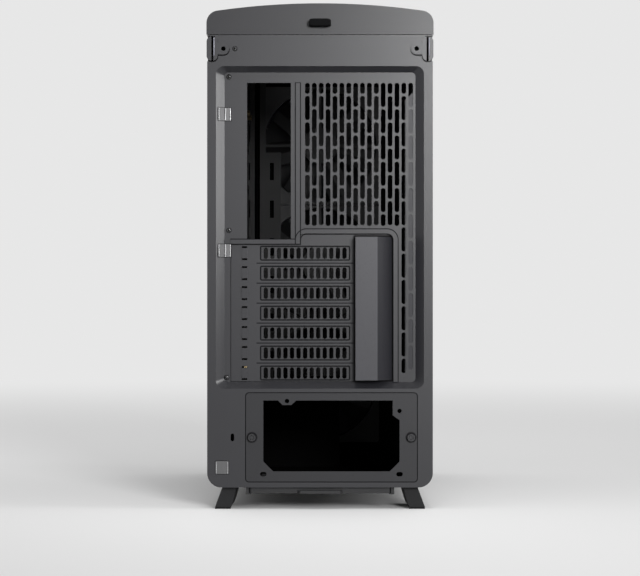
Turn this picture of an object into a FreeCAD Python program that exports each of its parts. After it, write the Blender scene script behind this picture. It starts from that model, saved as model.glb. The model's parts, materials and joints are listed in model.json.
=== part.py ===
import FreeCAD, Part
import math
import os

V = FreeCAD.Vector

# Mid-tower computer case, in millimetres.
# X runs to the right as seen from the back, Y towards the front, Z up.

# Steel body
BODY_WIDTH = 228.5
DEPTH = 450.0
SHEET = 1.0
CORNER_RADIUS = 14.5
TOP_CORNER_RADIUS = 2.5
FOOT_HEIGHT = 22.4
PAN_DEPTH = 12.0
SEAM_GAP = 0.6
FIT_GAP = 0.1

# Sides of small heads, and the flat share of a slot's end
HEX_SIDES = 6
SCREW_SIDES = 8
SLOT_END_SHARE = 0.6
THUMB_SIDES = 12

# Zones of the back, stacked from the floor up
SUPPLY_SILL = 6.0
SUPPLY_PLATE_HEIGHT = 89.5
SUPPLY_TO_RECESS = 4.6
RECESS_BEVEL_LOW = 6.5
SLOT_SILL = 8.9
SLOT_PITCH = 20.32
SLOT_COUNT = 7
IO_ABOVE_SLOT = 14.3
IO_HEIGHT = 158.75
IO_TO_RECESS_TOP = 10.45
RECESS_BEVEL_HIGH = 5.8
TOP_BAND = 32.1
COVER_RISE = 31.5

# Sunk field of the rear panel
RECESS_MARGIN = 8.95
RECESS_BEVEL_SIDE = 8.3
RECESS_DEPTH = 8.0
RECESS_RADIUS = 8.0
FIELD_RADIUS = 4.0
BEAD_HEIGHT = 1.5
BEAD_WIDTH = 5.2
BEAD_FROM_IO = 4.6
ZONE_DEPTH = 2.0
ZONE_RADIUS = 6.0
ZONE_STEP = 10.4
ZONE_INSET = 6.0

# Board connector cut-out and motherboard tray
TRAY_INSET = 30.25
IO_FROM_TRAY = 9.9
IO_WIDTH = 44.45

# Expansion slots
SLOT_FROM_IO = 13.5
SLOT_LENGTH = 90.9
SLOT_HEIGHT = 14.3
SLOT_EASE = 1.5
COVER_HEIGHT = 18.4
COVER_THICKNESS = 0.8
COVER_HOLES = 13
COVER_HOLE_WIDTH = 4.4
COVER_HOLE_HEIGHT = 11.5
COVER_HOLE_PITCH = 6.67
COVER_TAIL = 7.0
TAIL_HEIGHT = 10.0
BRIDGE_WIDTH = 5.6
BRIDGE_HEIGHT = 10.2
BRIDGE_GAP = 13.4
BRIDGE_SLIT = 2.0
TAB_REACH = 11.0
TAB_HEIGHT = 10.8
TAB_SCREW_RADIUS = 3.4
TAB_SCREW_HEIGHT = 2.2

# Lock hood over the slot screws
HOOD_GAP = 5.6
HOOD_FACE = 22.2
HOOD_SLOPE = 15.1
HOOD_PROUD = 5.0
HOOD_WALL = 1.2
HOOD_END_GAP = 2.0
HOOD_TOP_GAP = 3.2

# Fan grille
GRILLE_FROM_IO = 16.85
GRILLE_PITCH = 7.0
GRILLE_SLOT = 4.8
GRILLE_SLOT_LENGTH = 24.4
GRILLE_WEB = 2.3
GRILLE_EDGE = 4.4
GRILLE_ABOVE_BEAD = 3.0
LOWER_COLUMNS = 2

# Supply bracket
SUPPLY_SIDE_SHARE = 0.71
SUPPLY_PLATE_WIDTH = 173.1
SUPPLY_PLATE_GAP = 0.4
SUPPLY_PLATE_RADIUS = 3.0
SUPPLY_LIP = 7.0
SUPPLY_HOLE_X = 17.5
SUPPLY_HOLE_Z = 7.5
SUPPLY_HOLE_SPAN = 138.0
SUPPLY_TOP_HOLE_X = 24.0
SUPPLY_TOP_HOLE_Z = 74.0
SUPPLY_HOLE_SIDE = 64.0
SUPPLY_HOLE_RADIUS = 2.25
SUPPLY_SLOT = 6.5
SUPPLY_CHAMFER = 10.0
SUPPLY_WINDOW_SILL = 2.8
SUPPLY_WINDOW_TOP = 74.6
SUPPLY_EAR = 4.6
THUMB_RADIUS = 4.1
THUMB_HEIGHT = 5.0

# Lock slot, clips and small screws of the rear panel
LOCK_SLOT_WIDTH = 3.5
LOCK_SLOT_HEIGHT = 7.7
LOCK_SLOT_SHARE = 0.65
CLIP_SIZE = 13.0
CLIP_THICKNESS = 0.6
CLIP_LOW = 13.8
CLIP_HIGH = 32.0
CLIP_INSET = 8.5
CLIP_RISE = 6.0
SMALL_SCREW_RADIUS = 2.2
SMALL_SCREW_HEIGHT = 0.8

# Side panels and their lugs
SIDE_SHEET = 1.0
GLASS = 4.0
STRIP = 0.6
STRIP_WIDTH = 13.0
LUG_HOLE_INSET = 16.45
LUG_HOLE_RADIUS = 2.3
LUG_TAB_RADIUS = 5.9
LUG_LOW = 26.7
LUG_HEIGHT = 24.4
LUG_LEAF = 10.6
LUG_ROUND = 5.0
LUG_GAP = 1.7
LUG_FOLD = 8.0
LUG_PROUD = 0.55

# Frame inside
CHASSIS_INSET = 4.75
ROOF_FLANGE = 12.0
ROOF_RAIL = 30.0
ROOF_BRIDGE = 22.0
PILLAR_WIDTH = 21.0
PILLAR_BACK = 9.3
PILLAR_DROP = 17.0
PILLAR_CHAMFER = 9.0
SHROUD_DROP = 2.3
SHROUD_WALL_INSET = 14.7
SHROUD_FRONT_GAP = 14.0
CABLE_BAR_WIDTH = 38.0
BOARD_DEPTH = 244.0
BOARD_GAP = 1.2
HOLE_EDGE = 6.35
HOLE_COLUMN_MIDDLE = 157.48
HOLE_COLUMN_FRONT = 227.33
HOLE_ROW_MIDDLE = 124.46
HOLE_ROW_TOP = 279.4
HOLE_BOTTOM = 13.2
STANDOFF = 6.35
STANDOFF_RADIUS = 3.0
GROMMET_WIDTH = 30.0
GROMMET_HEIGHT = 74.0
GROMMET_WALL = 3.0

# Fans
FAN_SIZE = 140.0
FAN_DEPTH = 25.0
FAN_COUNT = 3
FAN_SILL = 18.0
FAN_GAP = 1.0
FAN_WALL = 3.0
FAN_HUB = 21.0
FAN_TIP_GAP = 1.5
FAN_BLADES = 7
FAN_HOLE_INSET = 7.75
FAN_HEADROOM = 16.8
BLADE_CHORD = 37.0
BLADE_CAMBER = 5.0
BLADE_THICKNESS = 1.5
BLADE_PITCH = 26.0
BLADE_SWEEP = 9.0
BLADE_ROOT_SHARE = 0.62
SHAFT_RADIUS = 2.0
SHAFT_CLEARANCE = 0.1

# Front panel and top cover
COVER_OVERHANG = 0.75
COVER_WALL = 2.0
CROWN_RADIUS = 735.0
SHOULDER_RADIUS = 12.5
FRONT_DEPTH = 32.0
FRONT_EDGE = 6.0
MESH_BORDER = 16.0
MESH_SHEET = 0.8
MESH_GAP = 0.2
MESH_BAR = 4.0
MESH_COLUMNS = 8
MESH_ROWS = 14
VENT_MARGIN = 24.0
PULL_TAB_WIDTH = 22.2
PULL_TAB_HEIGHT = 7.8
PULL_TAB_RISE = 7.4
PULL_TAB_REACH = 9.0
PULL_TAB_RADIUS = 2.4

# Port module
MODULE_WIDTH = 110.0
MODULE_DEPTH = 20.0
MODULE_BACK = 6.0
MODULE_GAP = 0.5
MODULE_SINK = 0.8
BUTTON_RADIUS = 6.5
RESET_RADIUS = 3.0
BUTTON_GAP = 0.3
BUTTON_LENGTH = 7.0
BUTTON_TRAVEL = 1.5
USB_SIZE = (13.2, 5.8)
USB_C_SIZE = (9.0, 3.4)
JACK_SIZE = (6.6, 6.6)
PORT_DEPTH = 12.0
PORT_WALL = 0.6
RESET_OFFSET = 47.0
JACK_OFFSET = 32.0
USB_C_OFFSET = 17.0
USB_OFFSET = 20.0

# Feet and bottom filter
FOOT_TOP_OUTER = 15.15
FOOT_TOP_WIDTH = 14.6
FOOT_SPLAY = 8.3
FOOT_TOE = 17.6
FOOT_FLARE = 2.0
FOOT_LENGTH = 52.0
FOOT_INSET = 8.0
PAD_HEIGHT = 2.0
TOE_RISE = 5.0
TOE_CUT = 1.9
FILTER_SIDE_GAP = 7.3
FILTER_LENGTH = 196.0
FILTER_HEIGHT = 6.0
FILTER_INSET = 4.0
FILTER_BAR = 8.0
FILTER_GAP = 0.2
GRIP_WIDTH = 41.0
GRIP_REACH = 6.0
RAIL_WIDTH = 3.0
RAIL_LIP = 2.2
RAIL_SHEET = 0.8
FLOOR_VENTS = 11
FLOOR_VENT_WIDTH = 6.0
FLOOR_VENT_LENGTH = 58.0
FLOOR_VENT_PITCH = 12.0

# Drive cage
CAGE_LENGTH = 102.0
CAGE_WIDTH = 104.0
CAGE_HEIGHT = 74.0
CAGE_FRONT_GAP = 20.0
DRIVE_TRAY_HEIGHT = 26.0
DRIVE_TRAY_WALL = 1.5

# Planes and lines that follow
LEFT = -BODY_WIDTH / 2
RIGHT = BODY_WIDTH / 2
COVER_WIDTH = BODY_WIDTH + 2 * COVER_OVERHANG
REAR = -DEPTH / 2 + PULL_TAB_REACH
FRONT = DEPTH / 2
FLOOR = FOOT_HEIGHT
SUPPLY_LOW = FLOOR + SUPPLY_SILL
SUPPLY_HIGH = SUPPLY_LOW + SUPPLY_PLATE_HEIGHT
RECESS_LOW = SUPPLY_HIGH + SUPPLY_TO_RECESS
FIELD_LOW = RECESS_LOW + RECESS_BEVEL_LOW
SLOT_LOW = FIELD_LOW + SLOT_SILL
SLOT_TOP = SLOT_LOW + (SLOT_COUNT - 1) * SLOT_PITCH
IO_LOW = SLOT_TOP + IO_ABOVE_SLOT
IO_HIGH = IO_LOW + IO_HEIGHT
FIELD_HIGH = IO_HIGH + IO_TO_RECESS_TOP
RECESS_HIGH = FIELD_HIGH + RECESS_BEVEL_HIGH
DECK = FLOOR + SHEET
FAN_PITCH = FAN_SIZE + FAN_GAP
FAN_TOP = DECK + FAN_SILL + FAN_COUNT * FAN_PITCH
SEAM = max(RECESS_HIGH + TOP_BAND, FAN_TOP + FAN_HEADROOM)
BODY_TOP = SEAM - SEAM_GAP
CROWN = SEAM + COVER_RISE

FIELD_Y = REAR + RECESS_DEPTH
ZONE_Y = FIELD_Y + ZONE_DEPTH
FIELD_LEFT = LEFT + RECESS_MARGIN + RECESS_BEVEL_SIDE
FIELD_RIGHT = RIGHT - RECESS_MARGIN - RECESS_BEVEL_SIDE
TRAY_X = LEFT + TRAY_INSET
IO_LEFT = TRAY_X + IO_FROM_TRAY
IO_RIGHT = IO_LEFT + IO_WIDTH
SLOT_LEFT = IO_LEFT + SLOT_FROM_IO
SLOT_RIGHT = SLOT_LEFT + SLOT_LENGTH
SLOT_CENTRES = [SLOT_TOP - i * SLOT_PITCH for i in range(SLOT_COUNT)]
HOOD_LEFT = SLOT_RIGHT + HOOD_GAP
HOOD_RIGHT = HOOD_LEFT + HOOD_FACE + HOOD_SLOPE
TAB_X = HOOD_LEFT + HOOD_WALL + 3 * FIT_GAP + SHEET
ZONE_LEFT = FIELD_LEFT + ZONE_INSET
ZONE_RIGHT = HOOD_RIGHT + SHEET
ZONE_LOW = FIELD_LOW
ZONE_HIGH = IO_LOW - BEAD_WIDTH
BEAD_X = IO_RIGHT + BEAD_FROM_IO + BEAD_WIDTH
GRILLE_LEFT = IO_RIGHT + GRILLE_FROM_IO
GRILLE_COLUMNS = int((FIELD_RIGHT - GRILLE_EDGE - GRILLE_LEFT) / GRILLE_PITCH) + 1
GRILLE_LOW = ZONE_HIGH + ZONE_STEP + BEAD_WIDTH + GRILLE_ABOVE_BEAD
SUPPLY_LEFT = LEFT + SUPPLY_SIDE_SHARE * (BODY_WIDTH - SUPPLY_PLATE_WIDTH)
SUPPLY_RIGHT = SUPPLY_LEFT + SUPPLY_PLATE_WIDTH
SUPPLY_X = SUPPLY_LEFT + SUPPLY_HOLE_X
SUPPLY_Z = SUPPLY_LOW + SUPPLY_HOLE_Z

PANEL_BACK = REAR + PAN_DEPTH + SEAM_GAP
PANEL_FRONT = FRONT - FRONT_DEPTH - SEAM_GAP
PANEL_LOW = FLOOR + CORNER_RADIUS + SEAM_GAP
CHASSIS_LEFT = LEFT + CHASSIS_INSET
CHASSIS_RIGHT = RIGHT - CHASSIS_INSET
ROOF_TOP = BODY_TOP - SHEET - FIT_GAP
ROOF_LOW = ROOF_TOP - SHEET
FRAME_FRONT = PANEL_FRONT - 2 * SHEET
FRAME_BACK = FRAME_FRONT - SHEET
SHROUD_TOP = RECESS_LOW - SHROUD_DROP
FAN_BACK = FRAME_BACK - FAN_DEPTH
SHROUD_FRONT = FAN_BACK - SHROUD_FRONT_GAP
BOARD_REAR = ZONE_Y + SHEET + BOARD_GAP
BOARD_LOW = SHROUD_TOP + 3 * SHEET
FAN_HOLE_SPAN = FAN_SIZE - 2 * FAN_HOLE_INSET
FAN_CENTRES = [DECK + FAN_SILL + FAN_SIZE / 2 + i * FAN_PITCH for i in range(FAN_COUNT)]
BAR_BACK = BOARD_REAR + BOARD_DEPTH + GROMMET_WIDTH + 3 * GROMMET_WALL
MODULE_Y = (PANEL_FRONT - MODULE_BACK - MODULE_DEPTH, PANEL_FRONT - MODULE_BACK)
FOOT_INNER = RIGHT - FOOT_TOP_OUTER - FOOT_TOP_WIDTH - FOOT_FLARE
FILTER_WIDTH = 2 * (FOOT_INNER - FILTER_SIDE_GAP - RAIL_WIDTH - FILTER_GAP)
LUG_FOLD_X = RIGHT - LUG_LEAF + (LUG_LEAF - LUG_GAP) / 2
LUG_Z = (BODY_TOP - LUG_LOW + SEAM_GAP, BODY_TOP - LUG_LOW + SEAM_GAP + LUG_HEIGHT)
LUG_FACE = (REAR - SHEET - FIT_GAP / 2, REAR - FIT_GAP / 2)


def xz(y):
    """Lays a flat drawing in the upright plane at depth y."""
    return lambda u, v: V(u, y, v)


def xy(z):
    """Lays a flat drawing in the level plane at height z."""
    return lambda u, v: V(u, v, z)


def yz(x):
    """Lays a flat drawing in the plane at distance x to the side."""
    return lambda u, v: V(x, u, v)


def block(x, y, z):
    """Block between the ends of x, y and z."""
    x, y, z = sorted(x), sorted(y), sorted(z)
    return Part.makeBox(x[1] - x[0], y[1] - y[0], z[1] - z[0], V(x[0], y[0], z[0]))


def fused(shapes):
    """One solid from shapes that touch or overlap."""
    return shapes[0].multiFuse(shapes[1:]).removeSplitter()


def rounding(before, corner, after, radius):
    """Start, middle and end of the arc that rounds a flat corner."""
    c = V(corner[0], corner[1], 0)
    a = (V(before[0], before[1], 0) - c).normalize()
    b = (V(after[0], after[1], 0) - c).normalize()
    half = a.getAngle(b) / 2
    reach = radius / math.tan(half)
    bisector = (a + b).normalize()
    return c + a * reach, c + bisector * (radius / math.sin(half) - radius), c + b * reach


def outline(corners, place):
    """Closed wire round flat corners (u, v, radius)."""
    count = len(corners)
    spans = []
    for i, corner in enumerate(corners):
        spans.append(rounding(corners[i - 1], corner, corners[(i + 1) % count], corner[2]))
    spans = [[place(p.x, p.y) for p in span] for span in spans]
    edges = []
    for i, (start, middle, end) in enumerate(spans):
        if corners[i][2] > 0:
            edges.append(Part.Arc(start, middle, end).toShape())
        follows = spans[(i + 1) % count][0]
        if (follows - end).Length > 1e-6:
            edges.append(Part.LineSegment(end, follows).toShape())
    return Part.Wire(edges)


def rectangle(u, v, radius, place):
    """Closed rounded rectangle between the ends of u and v."""
    ends = [(u[0], v[0]), (u[1], v[0]), (u[1], v[1]), (u[0], v[1])]
    return outline([(a, b, radius) for a, b in ends], place)


def eased(u, v, width, length, ease, place):
    """Rectangle round the middle (u, v) whose corners are cut back by ease."""
    w, h = width / 2, length / 2
    ends = [(-w, -h + ease), (-w + ease, -h), (w - ease, -h), (w, -h + ease)]
    ends += [(-a, -b) for a, b in ends]
    return outline([(u + a, v + b, 0) for a, b in ends], place)


def slot(u, v, width, length, place):
    """Upright slot whose round ends are drawn as three flats."""
    return eased(u, v, width, length, SLOT_END_SHARE * width / 2, place)


def sheet(wires, way):
    """Plate with holes: the first wire bounds it and the others pierce it."""
    return Part.makeFace(wires, "Part::FaceMakerBullseye").extrude(way)


def prism(centre, way, radius, sides):
    """Regular prism that starts at centre and runs along way."""
    start = V(*centre)
    side = way.cross(V(0, 0, 1) if abs(way.z) < abs(way.x) + abs(way.y) else V(1, 0, 0)).normalize()
    turn = 360.0 / sides
    points = []
    for i in range(sides + 1):
        points.append(start + FreeCAD.Rotation(way, turn * (i % sides)).multVec(side) * radius)
    return Part.Face(Part.makePolygon(points)).extrude(way)


def body_outline(inset, place):
    """Outline of the steel body, with wide round corners at the floor."""
    x = (LEFT + inset, RIGHT - inset)
    z = (FLOOR + inset, BODY_TOP - inset)
    low, high = CORNER_RADIUS - inset, TOP_CORNER_RADIUS - inset
    corners = [(x[0], z[0], low), (x[1], z[0], low), (x[1], z[1], high), (x[0], z[1], high)]
    return outline(corners, place)


def arch_outline(inset, base, base_radius, place):
    """Outline with a gently crowned top and round shoulders, standing on a flat base."""
    half = COVER_WIDTH / 2 - inset
    crown, shoulder = CROWN_RADIUS - inset, SHOULDER_RADIUS - inset
    hub = CROWN - CROWN_RADIUS
    rise = math.sqrt((crown - shoulder) ** 2 - (half - shoulder) ** 2)
    lean = math.atan2(half - shoulder, rise)
    end = (crown * math.sin(lean), hub + crown * math.cos(lean))
    turn = (lean + math.pi / 2) / 2
    bend = (half - shoulder + shoulder * math.sin(turn), hub + rise + shoulder * math.cos(turn))
    edges = [
        Part.Arc(place(-end[0], end[1]), place(0, hub + crown), place(*end)).toShape(),
        Part.Arc(place(*end), place(*bend), place(half, hub + rise)).toShape(),
        Part.Arc(place(-half, hub + rise), place(-bend[0], bend[1]), place(-end[0], end[1])).toShape(),
    ]
    low = [(half, hub + rise), (half, base + base_radius), (-half, base + base_radius), (-half, hub + rise)]
    edges.append(Part.LineSegment(place(*low[0]), place(*low[1])).toShape())
    edges.append(Part.LineSegment(place(*low[2]), place(*low[3])).toShape())
    foot = half - base_radius
    if base_radius > 0:
        dip = base_radius * (1 - math.sqrt(0.5))
        for s in (1, -1):
            ends = place(s * half, base + base_radius), place(s * foot, base)
            middle = place(s * (half - dip), base + dip)
            edges.append(Part.Arc(ends[0], middle, ends[1]).toShape())
    edges.append(Part.LineSegment(place(foot, base), place(-foot, base)).toShape())
    return Part.Wire(Part.__sortEdges__(edges))


def arch_height(x, sink):
    """Height of the crowned top, lowered by sink, at distance x from the middle."""
    return CROWN - CROWN_RADIUS + math.sqrt((CROWN_RADIUS - sink) ** 2 - x ** 2)


def frustum(grow, deep):
    """Sunk field with sloped walls, grown sideways by grow and reaching deep."""
    x = (LEFT + RECESS_MARGIN - grow, RIGHT - RECESS_MARGIN + grow)
    z = (RECESS_LOW - grow, RECESS_HIGH + grow)
    mouth = rectangle(x, z, RECESS_RADIUS + grow, xz(REAR))
    x = (FIELD_LEFT - grow, FIELD_RIGHT + grow)
    z = (FIELD_LOW - grow, FIELD_HIGH + grow)
    field = rectangle(x, z, FIELD_RADIUS + grow, xz(REAR + deep))
    return Part.makeLoft([mouth, field], True, True)


def zone_corners(grow):
    """Corners of the lower zone that holds the expansion slots."""
    left, right = ZONE_LEFT - grow, ZONE_RIGHT + grow
    step = BEAD_X - grow
    low, high = ZONE_LOW - grow, ZONE_HIGH + grow
    tall = high + ZONE_STEP
    corners = [(left, low, 0), (right, low, 0), (right, tall, ZONE_RADIUS + grow)]
    return corners + [(step, tall, 0), (step, high, 0), (left, high, 0)]


def grille_wires():
    """Staggered upright slots, column by column; the last columns run on below the fan."""
    wires = []
    pitch = GRILLE_SLOT_LENGTH + GRILLE_WEB
    for column in range(GRILLE_COLUMNS):
        low = GRILLE_LOW
        if column >= GRILLE_COLUMNS - LOWER_COLUMNS:
            low = FIELD_LOW + SLOT_SILL
        top = IO_HIGH + (0.5 * pitch if column % 2 == 0 else 0)
        while top > low + GRILLE_SLOT:
            ends = max(low, top - GRILLE_SLOT_LENGTH), min(IO_HIGH, top)
            if ends[1] - ends[0] > GRILLE_SLOT:
                x = GRILLE_LEFT + column * GRILLE_PITCH
                wires.append(slot(x, sum(ends) / 2, GRILLE_SLOT, ends[1] - ends[0], xz(FIELD_Y)))
            top -= pitch
    return wires


def supply_plate(grow, y):
    """Outline of the supply bracket, grown by grow."""
    x = (SUPPLY_LEFT - grow, SUPPLY_RIGHT + grow)
    z = (SUPPLY_LOW - grow, SUPPLY_HIGH + grow)
    return rectangle(x, z, SUPPLY_PLATE_RADIUS, xz(y))


def expansion_cuts():
    """Slot openings, tail slits and the window for the cover tabs, through the zone."""
    deep = (ZONE_Y - BEAD_HEIGHT, ZONE_Y + 2 * SHEET)
    cuts = []
    bridge = SLOT_LEFT - BRIDGE_GAP
    for z in SLOT_CENTRES:
        opening = eased((SLOT_LEFT + SLOT_RIGHT) / 2, z, SLOT_LENGTH, SLOT_HEIGHT, SLOT_EASE, xz(deep[0]))
        cuts.append(sheet([opening], V(0, deep[1] - deep[0], 0)))
        for s in (1, -1):
            edge = z + s * BRIDGE_HEIGHT / 2
            cuts.append(block((bridge - BRIDGE_WIDTH, bridge), deep, (edge, edge + s * BRIDGE_SLIT)))
    window = (SLOT_CENTRES[-1] - TAB_HEIGHT / 2 - FIT_GAP, SLOT_CENTRES[0] + TAB_HEIGHT / 2 + FIT_GAP)
    cuts.append(block((TAB_X, HOOD_LEFT + HOOD_FACE), deep, window))
    return cuts


def bead():
    """Raised rib round the connector field and the expansion zone."""
    outer = outline(zone_corners(BEAD_WIDTH), xz(FIELD_Y - BEAD_HEIGHT))
    inner = outline(zone_corners(0), xz(FIELD_Y - BEAD_HEIGHT))
    ring = sheet([outer, inner], V(0, BEAD_HEIGHT, 0))
    keep = block((ZONE_LEFT, FIELD_RIGHT), (REAR, ZONE_Y), (ZONE_LOW, FIELD_HIGH))
    post = block((BEAD_X - BEAD_WIDTH, BEAD_X), (FIELD_Y - BEAD_HEIGHT, FIELD_Y), (ZONE_HIGH, IO_HIGH))
    return [ring.common(keep), post]


def rear_panel():
    """Stamped back of the case: a shallow pan with a sunk, slotted field."""
    pan = sheet([body_outline(0, xz(REAR))], V(0, PAN_DEPTH, 0))
    pan = pan.cut(sheet([body_outline(SHEET, xz(REAR + SHEET))], V(0, PAN_DEPTH, 0)))
    dish = frustum(SHEET, RECESS_DEPTH + SHEET)
    zone = sheet([outline(zone_corners(SHEET), xz(FIELD_Y))], V(0, ZONE_DEPTH + SHEET, 0))
    lip = sheet([supply_plate(SUPPLY_PLATE_GAP + 2 * SHEET, REAR)], V(0, 2 * SHEET, 0))
    body = fused([pan, dish, zone, lip])
    body = body.cut(frustum(0, RECESS_DEPTH))
    body = body.cut(sheet([outline(zone_corners(0), xz(FIELD_Y - SHEET))], V(0, ZONE_DEPTH + SHEET, 0)))
    ledge_z = (SLOT_CENTRES[-1] - TAB_HEIGHT / 2, SLOT_CENTRES[0] + TAB_HEIGHT / 2)
    ledge = block((TAB_X - SHEET, TAB_X), (ZONE_Y + SHEET - TAB_REACH, ZONE_Y), ledge_z)
    bridges = []
    bridge = SLOT_LEFT - BRIDGE_GAP
    for z in SLOT_CENTRES:
        edge = (z - BRIDGE_HEIGHT / 2, z + BRIDGE_HEIGHT / 2)
        bridges.append(block((bridge - BRIDGE_WIDTH, bridge), (ZONE_Y - SHEET, ZONE_Y), edge))
    body = fused([body, ledge] + bead() + bridges)
    cuts = [sheet([wire], V(0, 2 * SHEET, 0)) for wire in grille_wires()]
    cuts += expansion_cuts()
    cuts.append(block((IO_LEFT, IO_RIGHT), (FIELD_Y - SHEET, FIELD_Y + 2 * SHEET), (IO_LOW, IO_HIGH)))
    cuts.append(sheet([supply_plate(SUPPLY_PLATE_GAP, REAR)], V(0, SHEET, 0)))
    x = (SUPPLY_LEFT + SUPPLY_LIP + 2 * SHEET, SUPPLY_RIGHT - SUPPLY_LIP - 2 * SHEET)
    z = (SUPPLY_LOW + SUPPLY_LIP / 2, SUPPLY_HIGH - SUPPLY_LIP / 2)
    cuts.append(block(x, (REAR, REAR + 3 * SHEET), z))
    lock = (LEFT + LOCK_SLOT_SHARE * (SUPPLY_LEFT - LEFT), SUPPLY_LOW + SUPPLY_PLATE_HEIGHT / 2)
    wire = slot(lock[0], lock[1], LOCK_SLOT_WIDTH, LOCK_SLOT_HEIGHT, xz(REAR))
    cuts.append(sheet([wire], V(0, SHEET, 0)))
    notch_x = (LUG_FOLD_X - SHEET - SEAM_GAP, RIGHT + SHEET)
    notch_z = (LUG_Z[0] - SEAM_GAP, LUG_Z[1] + SEAM_GAP)
    for s in (1, -1):
        cuts.append(block([s * x for x in notch_x], (REAR, PANEL_BACK), notch_z))
        cuts.append(Part.makeCylinder(LUG_HOLE_RADIUS, SHEET, lug_hole(s, REAR), V(0, 1, 0)))
    return body.cut(cuts)


def lug_hole(side, y):
    """Centre of a side panel's lug hole."""
    return V(side * (RIGHT - LUG_HOLE_INSET), y, sum(LUG_Z) / 2)


def lug(side):
    """Folded pull lug: a tab on the back face, a fold round the corner and an outer leaf."""
    z, face = LUG_Z, LUG_FACE
    inner = RIGHT - LUG_LEAF
    fold = LUG_FOLD_X
    outer = fold + LUG_GAP
    deep = (face[0], REAR + LUG_FOLD)
    hole = lug_hole(side, face[0])
    ear_z = (hole.z - LUG_TAB_RADIUS, hole.z + LUG_TAB_RADIUS)
    leaf_x = sorted((side * inner, side * (RIGHT + LUG_PROUD)))
    leaf = sheet([rectangle(leaf_x, z, LUG_ROUND, xz(face[0]))], V(0, SHEET, 0))
    parts = [
        Part.makeCylinder(LUG_TAB_RADIUS, SHEET, hole, V(0, 1, 0)),
        block((hole.x, side * inner), face, ear_z),
        leaf.cut(block((side * fold, side * outer), face, z)),
        block((side * (fold - SHEET), side * fold), deep, z),
        block((side * (fold - SHEET), side * (outer + SHEET)), (deep[1] - SHEET, deep[1]), z),
        block((side * outer, side * (outer + SHEET)), deep, z),
    ]
    return fused(parts).cut(Part.makeCylinder(LUG_HOLE_RADIUS, SHEET, hole, V(0, 1, 0)))


def steel_side_panel():
    """Plain steel side, with its pull lug at the upper rear corner."""
    plate = block((LEFT, LEFT + SIDE_SHEET), (PANEL_BACK, PANEL_FRONT), (PANEL_LOW, BODY_TOP))
    arm_z = (LUG_Z[0] + LUG_ROUND, LUG_Z[1] - LUG_ROUND)
    arm = block((LEFT, LEFT + SIDE_SHEET), (LUG_FACE[0], PANEL_BACK), arm_z)
    return fused([plate, arm, lug(-1)])


def glass_panel():
    """Tempered glass side, as one sheet with eased upright corners."""
    y, z = (PANEL_BACK, PANEL_FRONT), (PANEL_LOW, BODY_TOP)
    wire = rectangle(y, z, TOP_CORNER_RADIUS, yz(RIGHT - GLASS))
    return sheet([wire], V(GLASS, 0, 0))


def glass_panel_strip():
    """Steel strip bonded inside the glass; it carries the pull lug."""
    x = (RIGHT - GLASS - STRIP, RIGHT - GLASS)
    strip = block(x, (PANEL_BACK, PANEL_BACK + STRIP_WIDTH), (PANEL_LOW + SHEET, BODY_TOP - 3 * SHEET))
    arm = block(x, (REAR + LUG_FOLD - SHEET, PANEL_BACK), LUG_Z)
    return fused([strip, arm, lug(1)])


def rear_pillar():
    """Folded upright behind the right edge of the grille."""
    y = REAR + PILLAR_BACK
    high = FIELD_HIGH - PILLAR_DROP
    edge = CHASSIS_RIGHT
    corners = [(edge - PILLAR_WIDTH, FIELD_LOW, 0), (edge, FIELD_LOW, 0), (edge, high, 0)]
    corners.append((edge - PILLAR_WIDTH + PILLAR_CHAMFER, high, 0))
    corners.append((edge - PILLAR_WIDTH, high - PILLAR_CHAMFER, 0))
    leaf = sheet([outline(corners, xz(y))], V(0, SHEET, 0))
    web = block((edge - SHEET, edge), (REAR + SHEET, y), (FIELD_LOW, high))
    return fused([leaf, web])


def board_holes():
    """Depth and height of each motherboard fixing."""
    y = [BOARD_REAR + HOLE_EDGE + c for c in (0, HOLE_COLUMN_MIDDLE, HOLE_COLUMN_FRONT)]
    z = [BOARD_LOW + HOLE_BOTTOM + r for r in (0, HOLE_ROW_MIDDLE, HOLE_ROW_TOP)]
    return [(a, b) for a in y for b in z]


def grommet_openings():
    """Depth and height ranges of the cable openings beside the board."""
    y = BOARD_REAR + BOARD_DEPTH + GROMMET_WALL
    rows = int((ROOF_LOW - BOARD_LOW) / (GROMMET_HEIGHT + GROMMET_WIDTH))
    pitch = (ROOF_LOW - BOARD_LOW) / rows
    lows = [BOARD_LOW + (pitch - GROMMET_HEIGHT) / 2 + i * pitch for i in range(rows)]
    return [((y, y + GROMMET_WIDTH), (low, low + GROMMET_HEIGHT)) for low in lows]


def motherboard_tray():
    """Upright tray with a processor window and cable openings."""
    place = yz(TRAY_X)
    edge = (ZONE_Y + SHEET + FIT_GAP, SHROUD_FRONT)
    wires = [rectangle(edge, (SHROUD_TOP, ROOF_LOW - FIT_GAP), 0, place)]
    low = BOARD_LOW + HOLE_BOTTOM
    window_y = (BOARD_REAR + 3 * HOLE_EDGE, BOARD_REAR + HOLE_COLUMN_MIDDLE - HOLE_EDGE)
    window_z = (low + HOLE_ROW_MIDDLE + 3 * HOLE_EDGE, low + HOLE_ROW_TOP - HOLE_EDGE)
    wires.append(rectangle(window_y, window_z, HOLE_EDGE, place))
    for y, z in grommet_openings():
        wires.append(rectangle(y, z, GROMMET_WALL, place))
    return sheet(wires, V(SHEET, 0, 0))


def cable_grommets():
    """Rubber rims in the tray's cable openings."""
    rims = []
    lip = GROMMET_WALL
    for y, z in grommet_openings():
        outer = rectangle((y[0] - lip, y[1] + lip), (z[0] - lip, z[1] + lip), lip, yz(TRAY_X + SHEET))
        inner = rectangle((y[0] + lip, y[1] - lip), (z[0] + lip, z[1] - lip), 0, yz(TRAY_X + SHEET))
        rims.append(sheet([outer, inner], V(lip / 2, 0, 0)))
    return Part.makeCompound(rims)


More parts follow.
